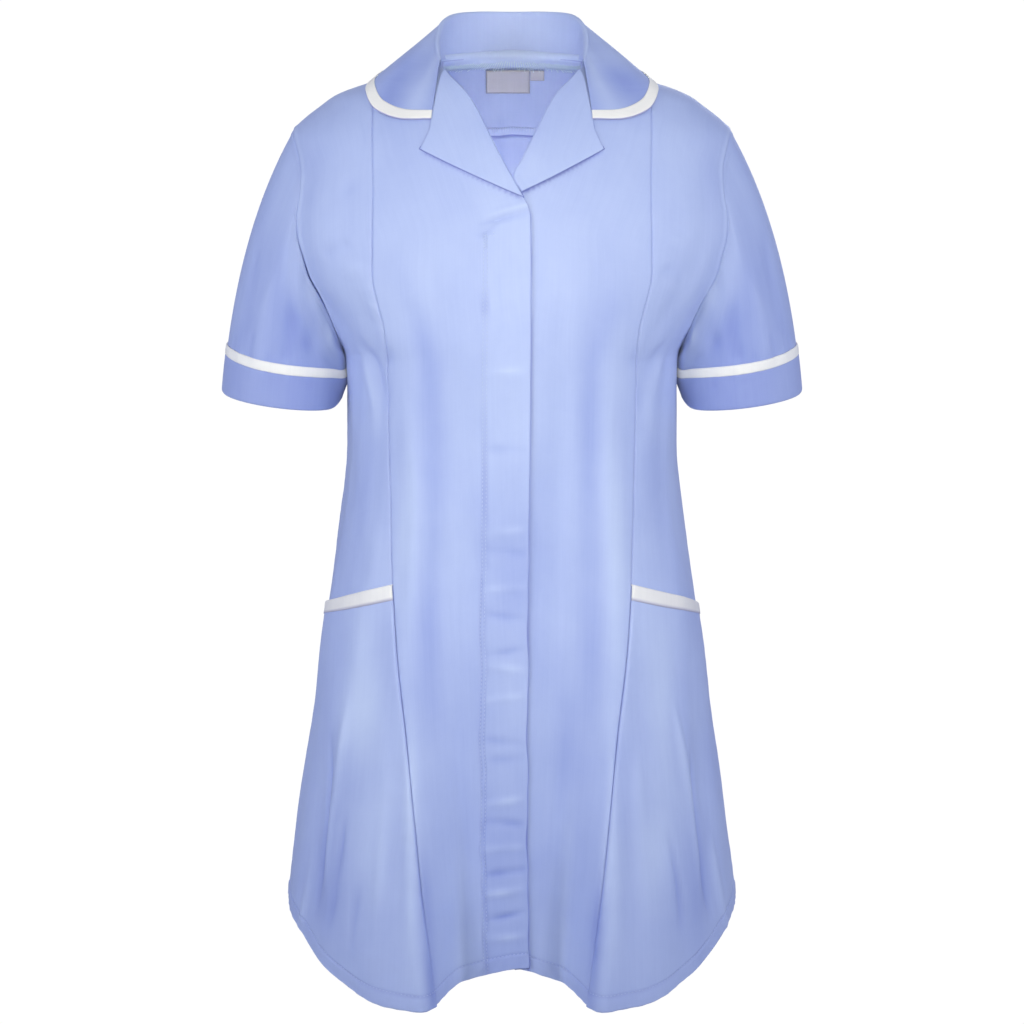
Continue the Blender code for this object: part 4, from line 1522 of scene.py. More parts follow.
@dataclass
class Front:
    """One front, from its closing edge and roll line to the princess seam. The wearer's right one is on top.

    The upper one has the placket, two rows of stitches beside the closing and a bar at their top. The lower
    one dips beneath it.
    """

    side: Side
    cut: Cut = Cut((0.17, 0.82), 0.100)
    placket: float = 40.0
    placket_top: float = 144.5
    placket_begins: Pair = (120.0, 140.0)
    twin: float = 3.4
    top_length: float = 11.0
    top_slope: float = 0.8
    bar_length: float = 15.0
    bar_stitches: int = 13
    row_shade: float = 0.26
    deeper_below: Pair = (560.0, 680.0)
    overlap: float = 15.1
    dip: float = LAYER + 0.5
    dip_share: Pair = (0.40, 0.54)
    dip_begins: Pair = (70.0, 95.0)
    closing_shade: float = 0.8
    closing_radius: float = 0.75
    closing_turned: float = 14.0
    lapel_shade: float = 0.8
    pulled: tuple[float, ...] = (112.0, 116.0, 120.0, 124.0, 128.0, 132.0)
    pulls: Creases = Creases(PULL_CREASES, math.radians(1) * BODY_GIRTH)
    stitches: Stitches = field(init=False)

    def __post_init__(self) -> None:
        """Threads the needle."""
        self.stitches = Stitches(f"front_{self.side.label}_stitches")

    @staticmethod
    def grid(rows: Grid, shares: Grid) -> tuple[Grid, Grid]:
        """Turns and drops of a front, unsigned."""
        return curved_hem(FORM.front_edge, FORM.princess_seam, rows, shares, HEM_FALL)

    def cloth(self) -> Cloth:
        """The front's sheet, with its hem and closing edge turned."""
        upper = self.side is Side.RIGHT
        sign = self.side.value
        rows = even_rows(0, HEM_ROW, (*self.pulled, -HEM_DEPTH))
        sewn = (self.placket, self.placket - self.twin) if upper else (2 * self.overlap,)
        shares = even_shares(lambda trial: self.grid(rows[::TRIAL_ROWS], trial), sewn)
        turn, drop = self.grid(rows, shares)
        if upper:
            turn = turn - self.closing_wave(drop) * np.exp(-26 * shares)
        panel = Laid(sign * turn, drop)
        panel.seam(panel.to_last, drop, 0.4 * sign)
        panel.seam(panel.down, panel.across, 1.1)
        if upper:
            pull = self.pulls.rise(panel.turn, drop)
            panel.lift = panel.lift + pull + self.placket_rise(panel.across, drop)
            panel.darken(self.placket_lines(panel.across, drop))
            # Painted shade in the troughs of the pull creases, and painted light on their ridges
            panel.tones = panel.tones + 0.5 * pull
        else:
            panel.lift = panel.lift - self.dip * self.beneath(shares, drop)
            # Painted shadow of the upper front's edge on the lower one
            panel.darken(self.under_closing(panel.base[..., 0], drop))
        panel.hem(PLAIN_HEM)
        # Painted shadow below the lapel's lower edge
        panel.darken(self.lapel_shade * self.under_lapel(sign * panel.base[..., 0], drop))
        sheet = panel.sheet()
        HemLook.sew(self.stitches, sheet, panel.to_foot)
        if upper:
            # Painted light and painted shade on the placket's strip
            sheet.tones = sheet.tones + self.placket_tones(panel.across, drop)
            self.sew_placket(sheet, panel.across)
        hemmed = sheet.fold_last_row(HEM_FOLD, HEM_DEPTH)
        turned = len(hemmed.points) - len(sheet.points) - FOLD_HALF
        # The closing edge's fold has painted shade on its far side
        closed = hemmed.turned().upside_down().fold_last_row(
            self.closing_radius, self.closing_turned, turned_last=turned, shade=0.7, show=0
        )
        return closed.upside_down().turned()

    @staticmethod
    def closing_wave(drop: Grid) -> Grid:
        """How far the closing edge wavers below the waist, in degrees of turn."""
        wave = np.sin(drop / 9.5) * np.sin(drop / 31 + 1) + 0.7 * np.sin(drop / 17 + 2)
        return 0.22 * wave * step((drop - 330) / 200)

    def beneath(self, shares: Grid, drop: Grid) -> Grid:
        """How far the lower front has dipped under the upper one, from 0 to 1."""
        start, end = self.dip_share
        top, whole = self.dip_begins
        return (1 - step((shares - start) / (end - start))) * step((drop - top) / (whole - top))

    def under_closing(self, x: Grid, drop: Grid) -> Grid:
        """How dark the painted shadow on the lower front is along the upper one's edge, at places this far
        from the centre line.
        """
        top, whole = self.placket_begins
        edge = -smooth(FRONT_EDGE["drop"], FRONT_EDGE["x"], drop)
        return self.closing_shade * bell(x - edge, 1.3) * step((drop - top) / (whole - top))

    def under_lapel(self, x: Grid, drop: Grid) -> Grid:
        """How much of the lapel's shadow falls on each place below its lower edge.

        Args:
            x: distance from the centre line.
            drop: drops of the places.

        Returns:
            From 0 to 1.
        """
        inner = "roll" if self.side is Side.RIGHT else "beneath"
        start, end = LAPEL[f"{inner}_x"][-1], LAPEL["outer_x"][-1]
        high, low = LAPEL[f"{inner}_drop"][-1], LAPEL["outer_drop"][-1]
        share = (x - start) / (end - start)
        below = drop - high - share * (low - high)
        ends = step((share + 0.05) * 10) * step((1.02 - share) * 12)
        return ends * bell(below - 1.0, np.where(below < 1.0, 4.0, 2.0))

    def placket_lines(self, from_edge: Grid, drop: Grid) -> Grid:
        """How dark the two rows of stitches beside the closing are."""
        rows = [sewn_groove(from_edge - self.placket + offset) for offset in (0.0, self.twin)]
        return self.row_shade * step((drop - self.placket_top) / 2) * np.maximum(*rows)

    def placket_tones(self, from_edge: Grid, drop: Grid) -> Grid:
        """Painted light on the placket's strip above and painted shade below, patchy at its wrinkles."""
        top, whole = self.deeper_below
        strip = step((self.placket - from_edge) / 1.5)
        patchy = 0.35 + 0.65 * np.sin(from_edge / 11 + drop / 40) ** 2
        tones = strip * (0.25 - 1.1 * step((drop - top) / (whole - top)))
        return tones + 1.5 * self.wrinkles(from_edge, drop) * strip * patchy

    def placket_rise(self, from_edge: Grid, drop: Grid) -> Grid:
        """Lift of the strip beside the closing, over its hidden fastenings and small wrinkles.

        Args:
            from_edge: distance from the closing edge.
            drop: drops of the places.

        Returns:
            The lift of each place, outwards.
        """
        top, whole = self.placket_begins
        begins = step((drop - top) / (whole - top))
        strip = step((self.placket - from_edge) / 2.0) * begins
        rise = 0.5 * strip
        for offset in (0.0, self.twin):
            rise = rise - 0.4 * begins * sewn_groove(from_edge - self.placket + offset)
        pull = np.sin(drop / 3.7 + 2 * np.sin(drop / 23)) * np.sin(drop / 61 + 0.5) ** 2
        rise = rise + 0.5 * pull * bell(from_edge - self.placket + 3, 5.5) * step((drop - 300) / 120)
        return rise + strip * self.wrinkles(from_edge, drop)

    def wrinkles(self, from_edge: Grid, drop: Grid) -> Grid:
        """Lift of the small level wrinkles in the strip beside the closing."""
        middle = np.sin(np.pi * np.clip(from_edge / self.placket, 0, 1)) ** 0.6
        rise = np.zeros(from_edge.shape)
        for height, depth, amount, tilt in zip(*PLACKET_WRINKLES.values()):
            line = height + tilt * (from_edge - self.placket / 2)
            rise = rise + amount * middle * bell(drop - line, depth)
        return rise

    def sew_placket(self, sheet: Cloth, from_edge: Grid) -> None:
        """Sews the two rows beside the closing, the pair across their top and the bar below it.

        Args:
            sheet: the front, before its edges are turned.
            from_edge: distance from the closing edge.
        """
        for offset in (0.0, self.twin):
            points, outward = line_on(sheet, from_edge, self.placket - offset)
            kept = points[:, 2] < -self.placket_top
            self.stitches.row(points[kept], outward[kept])
            height = -self.placket_top - self.top_slope * offset
            face, facing_out = [], []
            for place in np.linspace(self.placket, self.placket - self.top_length, 9):
                points, outward = line_on(sheet, from_edge, place)
                row = int(np.argmin(np.abs(points[:, 2] - height)))
                face.append([*points[row, :2], height])
                facing_out.append(outward[row])
            self.stitches.row(np.array(face), np.array(facing_out))
        points, outward = line_on(sheet, from_edge, self.placket - self.twin / 2)
        kept = (points[:, 2] < -self.placket_top) & (points[:, 2] > -self.placket_top - self.bar_length)
        points, outward, run = points[kept], outward[kept], np.arange(kept.sum())
        for index, at in enumerate(np.linspace(0, run[-1], self.bar_stitches)):
            place, facing_out = (point_at(at, run, values) for values in (points, outward))
            slant = np.array([1.5 if index % 2 else -1.5, 0.0, -0.6])
            self.stitches.stitch(place + 0.3 * facing_out, slant, facing_out, 0.6)

    def build(self, finishes: Finishes) -> None:
        """Makes this front."""
        sew_on(f"front_{self.side.label}_cloth", self.cloth(), finishes.blue)
        self.stitches.finish(finishes.blue_thread)


@dataclass
class SideFront:
    """One side front, from the princess seam to the armhole and the side seam."""

    side: Side
    cut: Cut = Cut((0.20, 0.80), 0.108)
    armhole_ends: float = 8.0
    # A painted highlight beside the armhole seam: its distance from the seam, its width and its strength
    ridge_place: float = 3.2
    ridge_width: float = 1.8
    ridge_tone: float = 0.8

    @staticmethod
    def grid(rows: Grid, shares: Grid) -> tuple[Grid, Grid]:
        """Turns and drops of a side front, unsigned."""
        return curved_hem(FORM.princess_seam, FORM.side_seam, rows, shares, HEM_RISE)

    def build(self, finishes: Finishes) -> None:
        """Makes this side front."""
        rows = even_rows(0, HEM_ROW)
        shares = even_shares(lambda trial: self.grid(rows[::TRIAL_ROWS], trial))
        turn, drop = self.grid(rows, shares)
        sign = self.side.value
        panel = Laid(sign * turn, drop)
        below_arm = step((drop - UNDERARM_DROP + self.armhole_ends) / self.armhole_ends)
        panel.seam(panel.across, drop, 0.4 * sign + 2)
        panel.seam(panel.to_last, drop, 0.7 * sign, share=below_arm)
        panel.lift = panel.lift + (1 - below_arm) * ARMHOLE_SEAM.rise(panel.to_last, drop, 0.7 * sign)
        panel.seam(panel.down, panel.across, 1.6)
        panel.hem(SIDE_HEM)
        # Painted highlight along the ridge beside the armhole seam
        ridge = bell(panel.to_last - self.ridge_place, self.ridge_width) * (1 - below_arm)
        panel.tones = panel.tones + self.ridge_tone * ridge
        sheet = panel.sheet().fold_last_row(HEM_FOLD, HEM_DEPTH)
        sew_on(f"side_front_{self.side.label}_cloth", sheet, finishes.blue)


@dataclass
class Back:
    """The back yoke and the back body below it, each in one across both halves."""

    yoke_cut: Cut = Cut((0.42, 0.12), 0.042)
    body_cut: Cut = Cut((0.56, 0.72), 0.318)
    pitch: float = PITCH * 1.15
    trial_columns: int = 33
    stitches: Stitches = field(default_factory=lambda: Stitches("back_stitches"))

    def grid(self, rows: Grid) -> tuple[Grid, Grid]:
        """Turns and drops of the back, with an even pitch across it."""
        half = np.linspace(0, 1, self.trial_columns)
        half = half * half * (1.6 - 0.6 * half)
        turn, drop = back_grid(rows, half / half[-1])
        distance = steps_along(FORM.place(turn, drop), axis=1).mean(axis=0)
        column = np.arange(turn.shape[1])
        places = np.interp(edged(distance[-1], self.pitch), distance, column)
        return tuple(np.stack([np.interp(places, column, row) for row in values]) for values in (turn, drop))

    def sheet(self, first: float, last: float, hem: bool) -> Cloth:
        """The sheet between two lattice rows.

        Args:
            first: the row at its top.
            last: the row at its foot.
            hem: True where it ends in the hem.

        Returns:
            The sheet.
        """
        panel = Laid(*self.grid(even_rows(first, last, (-HEM_DEPTH,) if hem else ())))
        panel.seam(panel.across, panel.drop, 0.9)
        panel.seam(panel.to_last, panel.drop, 2.1)
        panel.seam(panel.down, panel.across, 0.2)
        if not hem:
            panel.seam(panel.to_foot, panel.across, 1.2)
            return panel.sheet()
        panel.hem(PLAIN_HEM)
        sheet = panel.sheet()
        HemLook.sew(self.stitches, sheet, panel.to_foot)
        return sheet.fold_last_row(HEM_FOLD, HEM_DEPTH)

    def build(self, finishes: Finishes) -> None:
        """Makes the yoke and the body."""
        sew_on("back_yoke_cloth", self.sheet(0, YOKE_ROW, False), finishes.blue)
        sew_on("back_body_cloth", self.sheet(YOKE_ROW, HEM_ROW, True), finishes.blue)
        self.stitches.finish(finishes.blue_thread)


@dataclass
class Sleeve:
    """A short sleeve with its turned cuff, and the white trim along the cuff's top.

    A place goes round the sleeve from the shoulder point, forwards above zero. The cuff is deeper at its
    outer end, and its corners are round.
    """

    side: Side
    cut: Cut = Cut((0.35, 0.24), 0.055)
    cuff_cut: Cut = Cut((0.365, 0.045), 0.0162, "folded")
    trim_cut: Cut = Cut((0.365, 0.012), 0.0042, "folded")
    cuff_depth: float = 29.0
    outer_depth: float = 4.6
    outer_reach: float = 3.6
    tucked: float = 6.0
    trim_width: float = 8.5
    trim_lift: float = 0.25
    trim_round: float = 0.9
    trim_tone: float = 0.5
    band_lift: float = 1.0
    cuff_edge: tuple[float, ...] = (0.0, 0.4, 1.0, 1.8)
    cuff_fold: float = 0.9
    cuff_turned: float = 12.0
    corners: Pair = (6.5, 2.0)
    corner_reach: Pair = (1.3, 1.2)
    press: float = 5.2
    press_reach: float = 1.8
    press_top: float = 31.0
    # Painted shade and light of the creases, a little painted shade over the whole sleeve, and deep painted
    # shade over its lower front
    crease_tone: float = 0.45
    tone: float = -0.2
    lower_tone: float = -1.9
    columns: int = 120
    rows: int = 84
    creases: Creases = Creases(SLEEVE_CREASES, SLEEVE_PLACE, SLEEVE_LENGTH)

    @staticmethod
    def surface(place: Grid, share: Grid) -> Grid:
        """The wearer's left sleeve: place goes round it from the shoulder point, and share down it to 1."""
        angle = np.pi * place / UNDERARM_ROW
        top = 0.5 + 0.5 * np.cos(angle)
        start = FORM.armhole_loop(place)
        start[..., 0] += SLEEVE_STEP_OUT * (1 - step(top / SLEEVE_STEP_SHARE))
        hem = SLEEVE_HEM
        end = np.stack(
            [
                hem["x"] + hem["across"] * np.cos(angle),
                hem["y"] - hem["deep"] * np.sin(angle),
                -hem["drop"] + hem["tilt"] * np.cos(angle),
            ],
            axis=-1,
        )
        weight = np.stack([step(2 * top - 1), 1 - step(np.abs(2 * top - 1)), step(1 - 2 * top)], axis=-1)
        ways = [np.array(SLEEVE_LEAVES[name]) for name in ("top", "front", "under")]
        leave = sum(weight[..., index, None] * way for index, way in enumerate(ways))
        leave[..., 1] *= np.sign(np.sin(angle))
        reach = np.linalg.norm(end - start, axis=-1, keepdims=True)
        arrive = np.array(SLEEVE_ENDS) * reach
        leave = leave * reach
        share = np.asarray(share)[..., None]
        rise = share * share * (3 - 2 * share)
        bend = share * (1 - share) ** 2 * leave - share * share * (1 - share) * arrive
        return start + rise * (end - start) + bend

    @property
    def places(self) -> Grid:
        """The places of the columns, from the underarm round to the underarm."""
        return np.linspace(-UNDERARM_ROW, UNDERARM_ROW, self.columns + 1)[None, :]

    def reach(self, place: Grid) -> Grid:
        """Length of the sleeve at each place round it."""
        return np.linalg.norm(self.surface(place, 1 + 0 * place) - self.surface(place, 0 * place), axis=-1)

    def layer(self, above_hem: Grid, lift: Grid) -> Cloth:
        """A sheet round the sleeve, pressed to the body's side at the underarm.

        Args:
            above_hem: how far above the hem each row lies, as rows and columns.
            lift: how far out each place stands.

        Returns:
            The sheet.
        """
        share = 1 - above_hem / self.reach(self.places)
        place, share = np.broadcast_arrays(self.places, share)
        base = self.surface(place, share)
        outward = facing(self.surface, place, share)
        middle = base.mean(axis=1, keepdims=True)
        outward = outward * np.sign(np.sum(outward * (base - middle)))
        creased = self.creases.rise(place, share) * step(share * 9)
        underarm = bell(np.abs(place) - UNDERARM_ROW, self.press_reach)
        pressed = step(share / 0.25) * (1.3 * step(above_hem / self.press_top) - 0.3)
        points = base + outward * (lift + creased + self.press * underarm * pressed)[..., None]
        for array in (points, outward):
            array[..., 0] *= self.side.value
        # Painted shade over the lower front of the sleeve, with the creases' painted shade and light
        lower = step((share - 0.15) / 0.4) * bell(np.abs(place) - 7.4, 4.2)
        tones = self.crease_tone * creased + self.tone + self.lower_tone * lower
        return Cloth(points, outward.copy(), tones=tones)

    def sleeve(self, depth: Grid) -> Cloth:
        """The sleeve's own sheet, from the armhole to just behind the cuff's top."""
        reach = self.reach(self.places)
        down = edged(1000.0, 1000.0 / self.rows)[:, None] / 1000.0
        from_top = down * (reach - depth + self.tucked)
        seam = ARMHOLE_SEAM.rise(from_top, self.places * SLEEVE_PLACE, 0.5) - 0.25
        sheet = self.layer(reach - from_top, seam)
        sheet.lines = ARMHOLE_SEAM.line(from_top, 200 + 0 * from_top)
        return sheet

    def trim(self, depth: Grid) -> Cloth:
        """The trim's sheet, with both its edges rounded down to the sleeve."""
        across = np.array([0.0, 0.25, 0.6, 1.2, 2.5, 4.25, 6.0, 7.3, 7.9, 8.25, 8.5])[:, None]
        to_edge = np.minimum(across, self.trim_width - across)
        round_edge = self.trim_round * np.clip(1 - to_edge / 1.0, 0, 1) ** 2
        lift = self.band_lift + self.trim_lift - round_edge + 0 * self.places
        sheet = self.layer(depth + self.trim_width - across, lift)
        # Painted shadow along the trim's lower edge, and a fainter dark line along its upper edge
        sheet.lines[-2:] = 0.8
        sheet.lines[0] = 0.4
        sheet.tones[:] = self.trim_tone
        return sheet

    def cuff(self, depth: Grid) -> Cloth:
        """The cuff's sheet, turned inside at the hem."""
        below = np.concatenate([self.cuff_edge, np.linspace(3.0, self.cuff_depth, 11)])[:, None]
        above = self.cuff_depth - below
        lift = self.band_lift - 0.5 * np.clip(1 - below / 1.2, 0, 1) ** 2 + 0 * self.places
        under, outer = (
            height * bell(np.abs(self.places) - place, reach)
            for height, place, reach in zip(self.corners, (UNDERARM_ROW, 0), self.corner_reach)
        )
        share = above / self.cuff_depth
        sheet = self.layer(share * depth + (under + outer) * (1 - share), lift)
        sheet = sheet.fold_last_row(self.cuff_fold, self.cuff_turned)
        sheet.doubled[:] = 1
        return sheet

    def build(self, finishes: Finishes) -> None:
        """Makes the sleeve, its trim and its cuff."""
        label = self.side.label
        depth = self.cuff_depth + self.outer_depth * bell(self.places, self.outer_reach)
        sew_on(f"sleeve_{label}_cloth", self.sleeve(depth), finishes.blue, closed=True)
        sew_on(f"cuff_{label}_cloth", self.cuff(depth), finishes.blue, closed=True)
        sew_on(f"cuff_trim_{label}_tape", self.trim(depth), finishes.white, TRIM, closed=True)


@dataclass
class Lapel:
    """The turned front facing, flat on the front from the roll line to its outer edge."""

    side: Side
    cut: Cut = Cut((0.09, 0.12), 0.0052, "folded")
    rows: int = 64
    columns: int = 40
    roll_lift: float = 1.2
    roll_reach: float = 9.0
    # Painted light over the whole lapel, and painted shade near its roll line
    tone: float = 0.35
    roll_tone: float = -0.5
    roll_turned: float = 4.0
    edge_radius: float = 0.6
    foot_radius: float = 0.8
    edge_turned: float = 6.0
    # The painted shade on the far side of the lapel's turned edges
    edge_shade: float = 0.9

    def build(self, finishes: Finishes) -> None:
        """Makes the lapel with its round roll and its turned outer edge."""
        places = np.arange(float(len(LAPEL["roll_x"])))
        rows = np.linspace(0, len(places) - 1, self.rows)
        ends = []
        for edge in ("roll" if self.side is Side.RIGHT else "beneath", "outer"):
            drop = smooth(places, LAPEL[f"{edge}_drop"], rows)
            ends.append((FORM.turn_at(smooth(places, LAPEL[f"{edge}_x"], rows), drop), drop))
        shares = np.linspace(0, 1, self.columns) ** 1.2
        turn, drop = between(lambda row: ends[0], lambda row: ends[1], rows, shares)
        panel = Laid(self.side.value * turn, drop)
        panel.lift = LAYER + panel.lift + self.roll_lift * bell(panel.across, self.roll_reach)
        # Painted light over the lapel, and painted shade near its roll line
        panel.tones = self.tone + self.roll_tone * np.exp(-panel.across / 12)
        sheet = panel.sheet()
        radius = (LAYER + self.roll_lift) / 2
        sheet = sheet.turned().upside_down().fold_last_row(radius, self.roll_turned, show=0).upside_down()
        rolled = len(sheet.points) - len(shares)
        sheet = sheet.fold_last_row(self.edge_radius, self.edge_turned, shade=self.edge_shade, show=0)
        tucked = len(sheet.points) - len(shares) - rolled
        ends = {"turned_last": tucked - FOLD_HALF, "turned_first": rolled - FOLD_HALF}
        sheet = sheet.turned().fold_last_row(
            self.foot_radius, self.edge_turned, **ends, shade=self.edge_shade, show=0
        )
        sew_on(f"lapel_{self.side.label}_cloth", sheet, finishes.blue)


@dataclass
class Pocket:
    """A pocket panel from its mouth to the hem, over the side front, and the white binding of its mouth."""

    side: Side
    cut: Cut = Cut((0.20, 0.36), 0.062)
    binding_cut: Cut = Cut((0.18, 0.022), 0.0034, "folded")
    first_row: int = 20
    rows: int = 112
    mouth: Pair = (454.5, 493.5)
    gape: float = 2.2
    gape_fade: float = 40.0
    binding: float = 10.0
    binding_lift: float = 0.75
    binding_fold: float = 1.0
    binding_turned: float = 8.0
    binding_tone: float = -0.8
    binding_shade: float = 0.7

    def places(self, shares: Grid) -> tuple[Grid, Grid]:
        """Turns and drops from the mouth to the hem."""
        hem = SideFront.grid(even_rows(self.first_row, HEM_ROW), shares)[1][-1]
        mouth = self.mouth[0] + shares * (self.mouth[1] - self.mouth[0])
        length = hem.mean() - self.mouth[1]
        even = edged(length, length / self.rows, (-HEM_DEPTH,))[:, None] / length
        drop = mouth + even * (hem - mouth)
        inner = FORM.turn_on(PRINCESS, drop)
        return inner + shares * (90 - inner), drop

    def build(self, finishes: Finishes) -> None:
        """Makes the pocket panel and its binding."""
        shares = even_shares(self.places)
        turn, drop = self.places(shares)
        sign = self.side.value
        panel = Laid(sign * turn, drop)
        gape = self.gape * np.sin(np.pi * shares) * np.exp(-panel.down / self.gape_fade)
        panel.lift = LAYER + gape + panel.lift
        panel.seam(panel.across, drop, 1.3 * sign, POCKET_SEAM)
        panel.seam(panel.to_last, drop, 0.3, POCKET_SEAM)
        panel.hem(POCKET_HEM)
        whole = panel.sheet()
        label = self.side.label
        stitches = Stitches(f"pocket_{label}_stitches")
        HemLook.sew(stitches, whole, panel.to_foot)
        stitches.finish(finishes.blue_thread)
        sheet = whole.fold_last_row(HEM_FOLD + 0.4, HEM_DEPTH)
        sew_on(f"pocket_{label}_cloth", sheet, finishes.blue)

        strip = slice(int(np.searchsorted(panel.down.mean(axis=1), self.binding)) + 1)
        tones = np.full(panel.down[strip].shape, self.binding_tone)
        facing_out = panel.outward[strip]
        band = Cloth(whole.points[strip] + self.binding_lift * facing_out, facing_out, tones=tones)
        # Painted shadow along the binding's lower edge
        band.lines[-1] = self.binding_shade
        band = band.upside_down().fold_last_row(self.binding_fold, self.binding_turned)
        sew_on(f"pocket_trim_{label}_tape", band, finishes.white)


@dataclass
class Collar:
    """The collar, folded in one from its stand to its fall, and the white binding round the fall's edge."""

    cut: Cut = Cut((0.46, 0.115), 0.036, "folded")
    binding_cut: Cut = Cut((0.68, 0.022), 0.0125, "folded")
    fold: float = 2.6
    bow: float = 0.1
    lift: float = 1.2
    edge_lift: float = 0.5
    fall: float = 72.0
    binding: float = 8.5
    binding_lift: float = 1.0
    binding_fold: float = 1.1
    binding_turned: float = 7.0
    columns: int = 200

    @property
    def reach(self) -> int:
        """The place of the collar's front ends."""
        return len(COLLAR["neck"]) - 1

    @staticmethod
    def column(name: str, place: Grid) -> Grid:
        """A collar size at a place: 0 is the centre back, 7 the wearer's left front end and -7 the right."""
        sizes = COLLAR[name]
        beyond = 2 * sizes[-1] - sizes[-2] if name in COLLAR_CROSSING else sizes[-2]
        return smooth(np.arange(len(sizes) + 1.0), np.append(sizes, beyond), len(sizes) - 1 - np.abs(place))

    def surface(self, place: Grid, across: Grid) -> Grid:
        """The collar: place runs round the neck, and across goes from the neck seam to the outer edge.

        Args:
            place: from -7 to 7, with 0 at the back.
            across: 0 to 1 up the stand, 1 to 2 over the fold and 2 to 3 down the fall.

        Returns:
            The places.
        """
        side = np.where(place < 0, -1.0, 1.0)
        neck = FORM.place(side * self.column("neck_turn", place), self.column("neck", place))
        neck[..., 2] += self.lift
        edge_turn = side * self.column("edge_turn", place)
        edge_drop = self.column("edge", place)
        edge = FORM.place(edge_turn, edge_drop)
        edge = edge + FORM.outward(edge_turn, edge_drop) * (LAYER + self.edge_lift)
        roll_x, roll_y, roll_drop = (self.column(name, place) for name in ("roll_x", "roll_y", "roll"))
        roll = np.stack([side * roll_x, roll_y, -roll_drop], axis=-1)
        outward = edge - roll
        outward[..., 2] = 0
        outward = outward / np.linalg.norm(outward, axis=-1, keepdims=True)
        up = np.array([0.0, 0.0, 1.0])
        heart = roll - self.fold * up
        over = np.pi * np.clip(across - 1, 0, 1)[..., None]
        fold = heart + self.fold * (np.sin(over) * up - np.cos(over) * outward)
        stand_share = np.clip(across, 0, 1)[..., None]
        fall_share = np.clip(across - 2, 0, 1)[..., None]
        stand = neck + stand_share * (heart - self.fold * outward - neck)
        bow = self.bow * self.column("bow", place)[..., None] * np.sin(np.pi * fall_share)
        bow = bow * (outward + up) * math.sqrt(0.5)
        fall = heart + self.fold * outward + fall_share * (edge - heart - self.fold * outward) + bow
        across = across[..., None]
        return np.where(across < 1, stand, np.where(across <= 2, fold, fall))

    def tones(self, place: Grid, across: Grid) -> Grid:
        """The collar's painted light and shade: painted light inside, painted shade at the shoulder part of
        its fall and at its front ends, and a painted highlight streak near those ends.

        Args:
            place: from -7 to 7.
            across: from 0 to 3, as surface has it.

        Returns:
            The tone of each place.
        """
        from_end = self.reach - np.abs(place)
        down = np.clip(across - 2, 0, 1)
        inner_ends = 1.8 * bell(from_end, 0.9) * step(1.6 - across)
        outer_ends = 1.5 * step(across - 1.4) * bell(from_end, 0.3)
        shoulder = bell(from_end - 2.1, 1.15) * (0.8 + 0.2 * np.sin(7 * down + 2 * place))
        painted_highlight = 0.7 * bell(from_end - 0.75, 0.3)
        return 0.6 - inner_ends - outer_ends - step(across - 1.5) * (0.6 + 2.5 * shoulder - painted_highlight)

    def spread(self, shares: Grid) -> tuple[Grid, Grid, Grid, Grid]:
        """The place, share, point and facing of each place of a sheet that has its rows at these shares."""
        places = np.linspace(-self.reach, self.reach, self.columns)[None, :]
        place, across = np.broadcast_arrays(places, shares[:, None])
        return place, across, self.surface(place, across), -facing(self.surface, place, across)

    def build(self, finishes: Finishes) -> None:
        """Makes the collar and its binding."""
        stand, over = np.linspace(0, 1, 14)[:-1], np.linspace(1, 2, 9)[:-1]
        fall = np.linspace(2, 3 - 3.0 / self.fall, 30)
        place, across, points, outward = self.spread(np.concatenate([stand, over, fall]))
        ripple = 0.35 * np.sin(place * 3.1 + 1.0) * np.sin(across * 4.0 + 0.5 * place) * step(across - 1.2)
        sheet = Cloth(points + outward * ripple[..., None], outward, tones=self.tones(place, across))
        sew_on("collar_cloth", sheet, finishes.blue, FACED)

        _, _, points, outward = self.spread(np.linspace(3 - self.binding / self.fall, 3, 9))
        band = Cloth(points + self.binding_lift * outward, outward)
        # Painted shade on the far side of the binding's folded edge
        band = band.fold_last_row(self.binding_fold, self.binding_turned, shade=0.9)
        sew_on("collar_binding_tape", band, finishes.white)


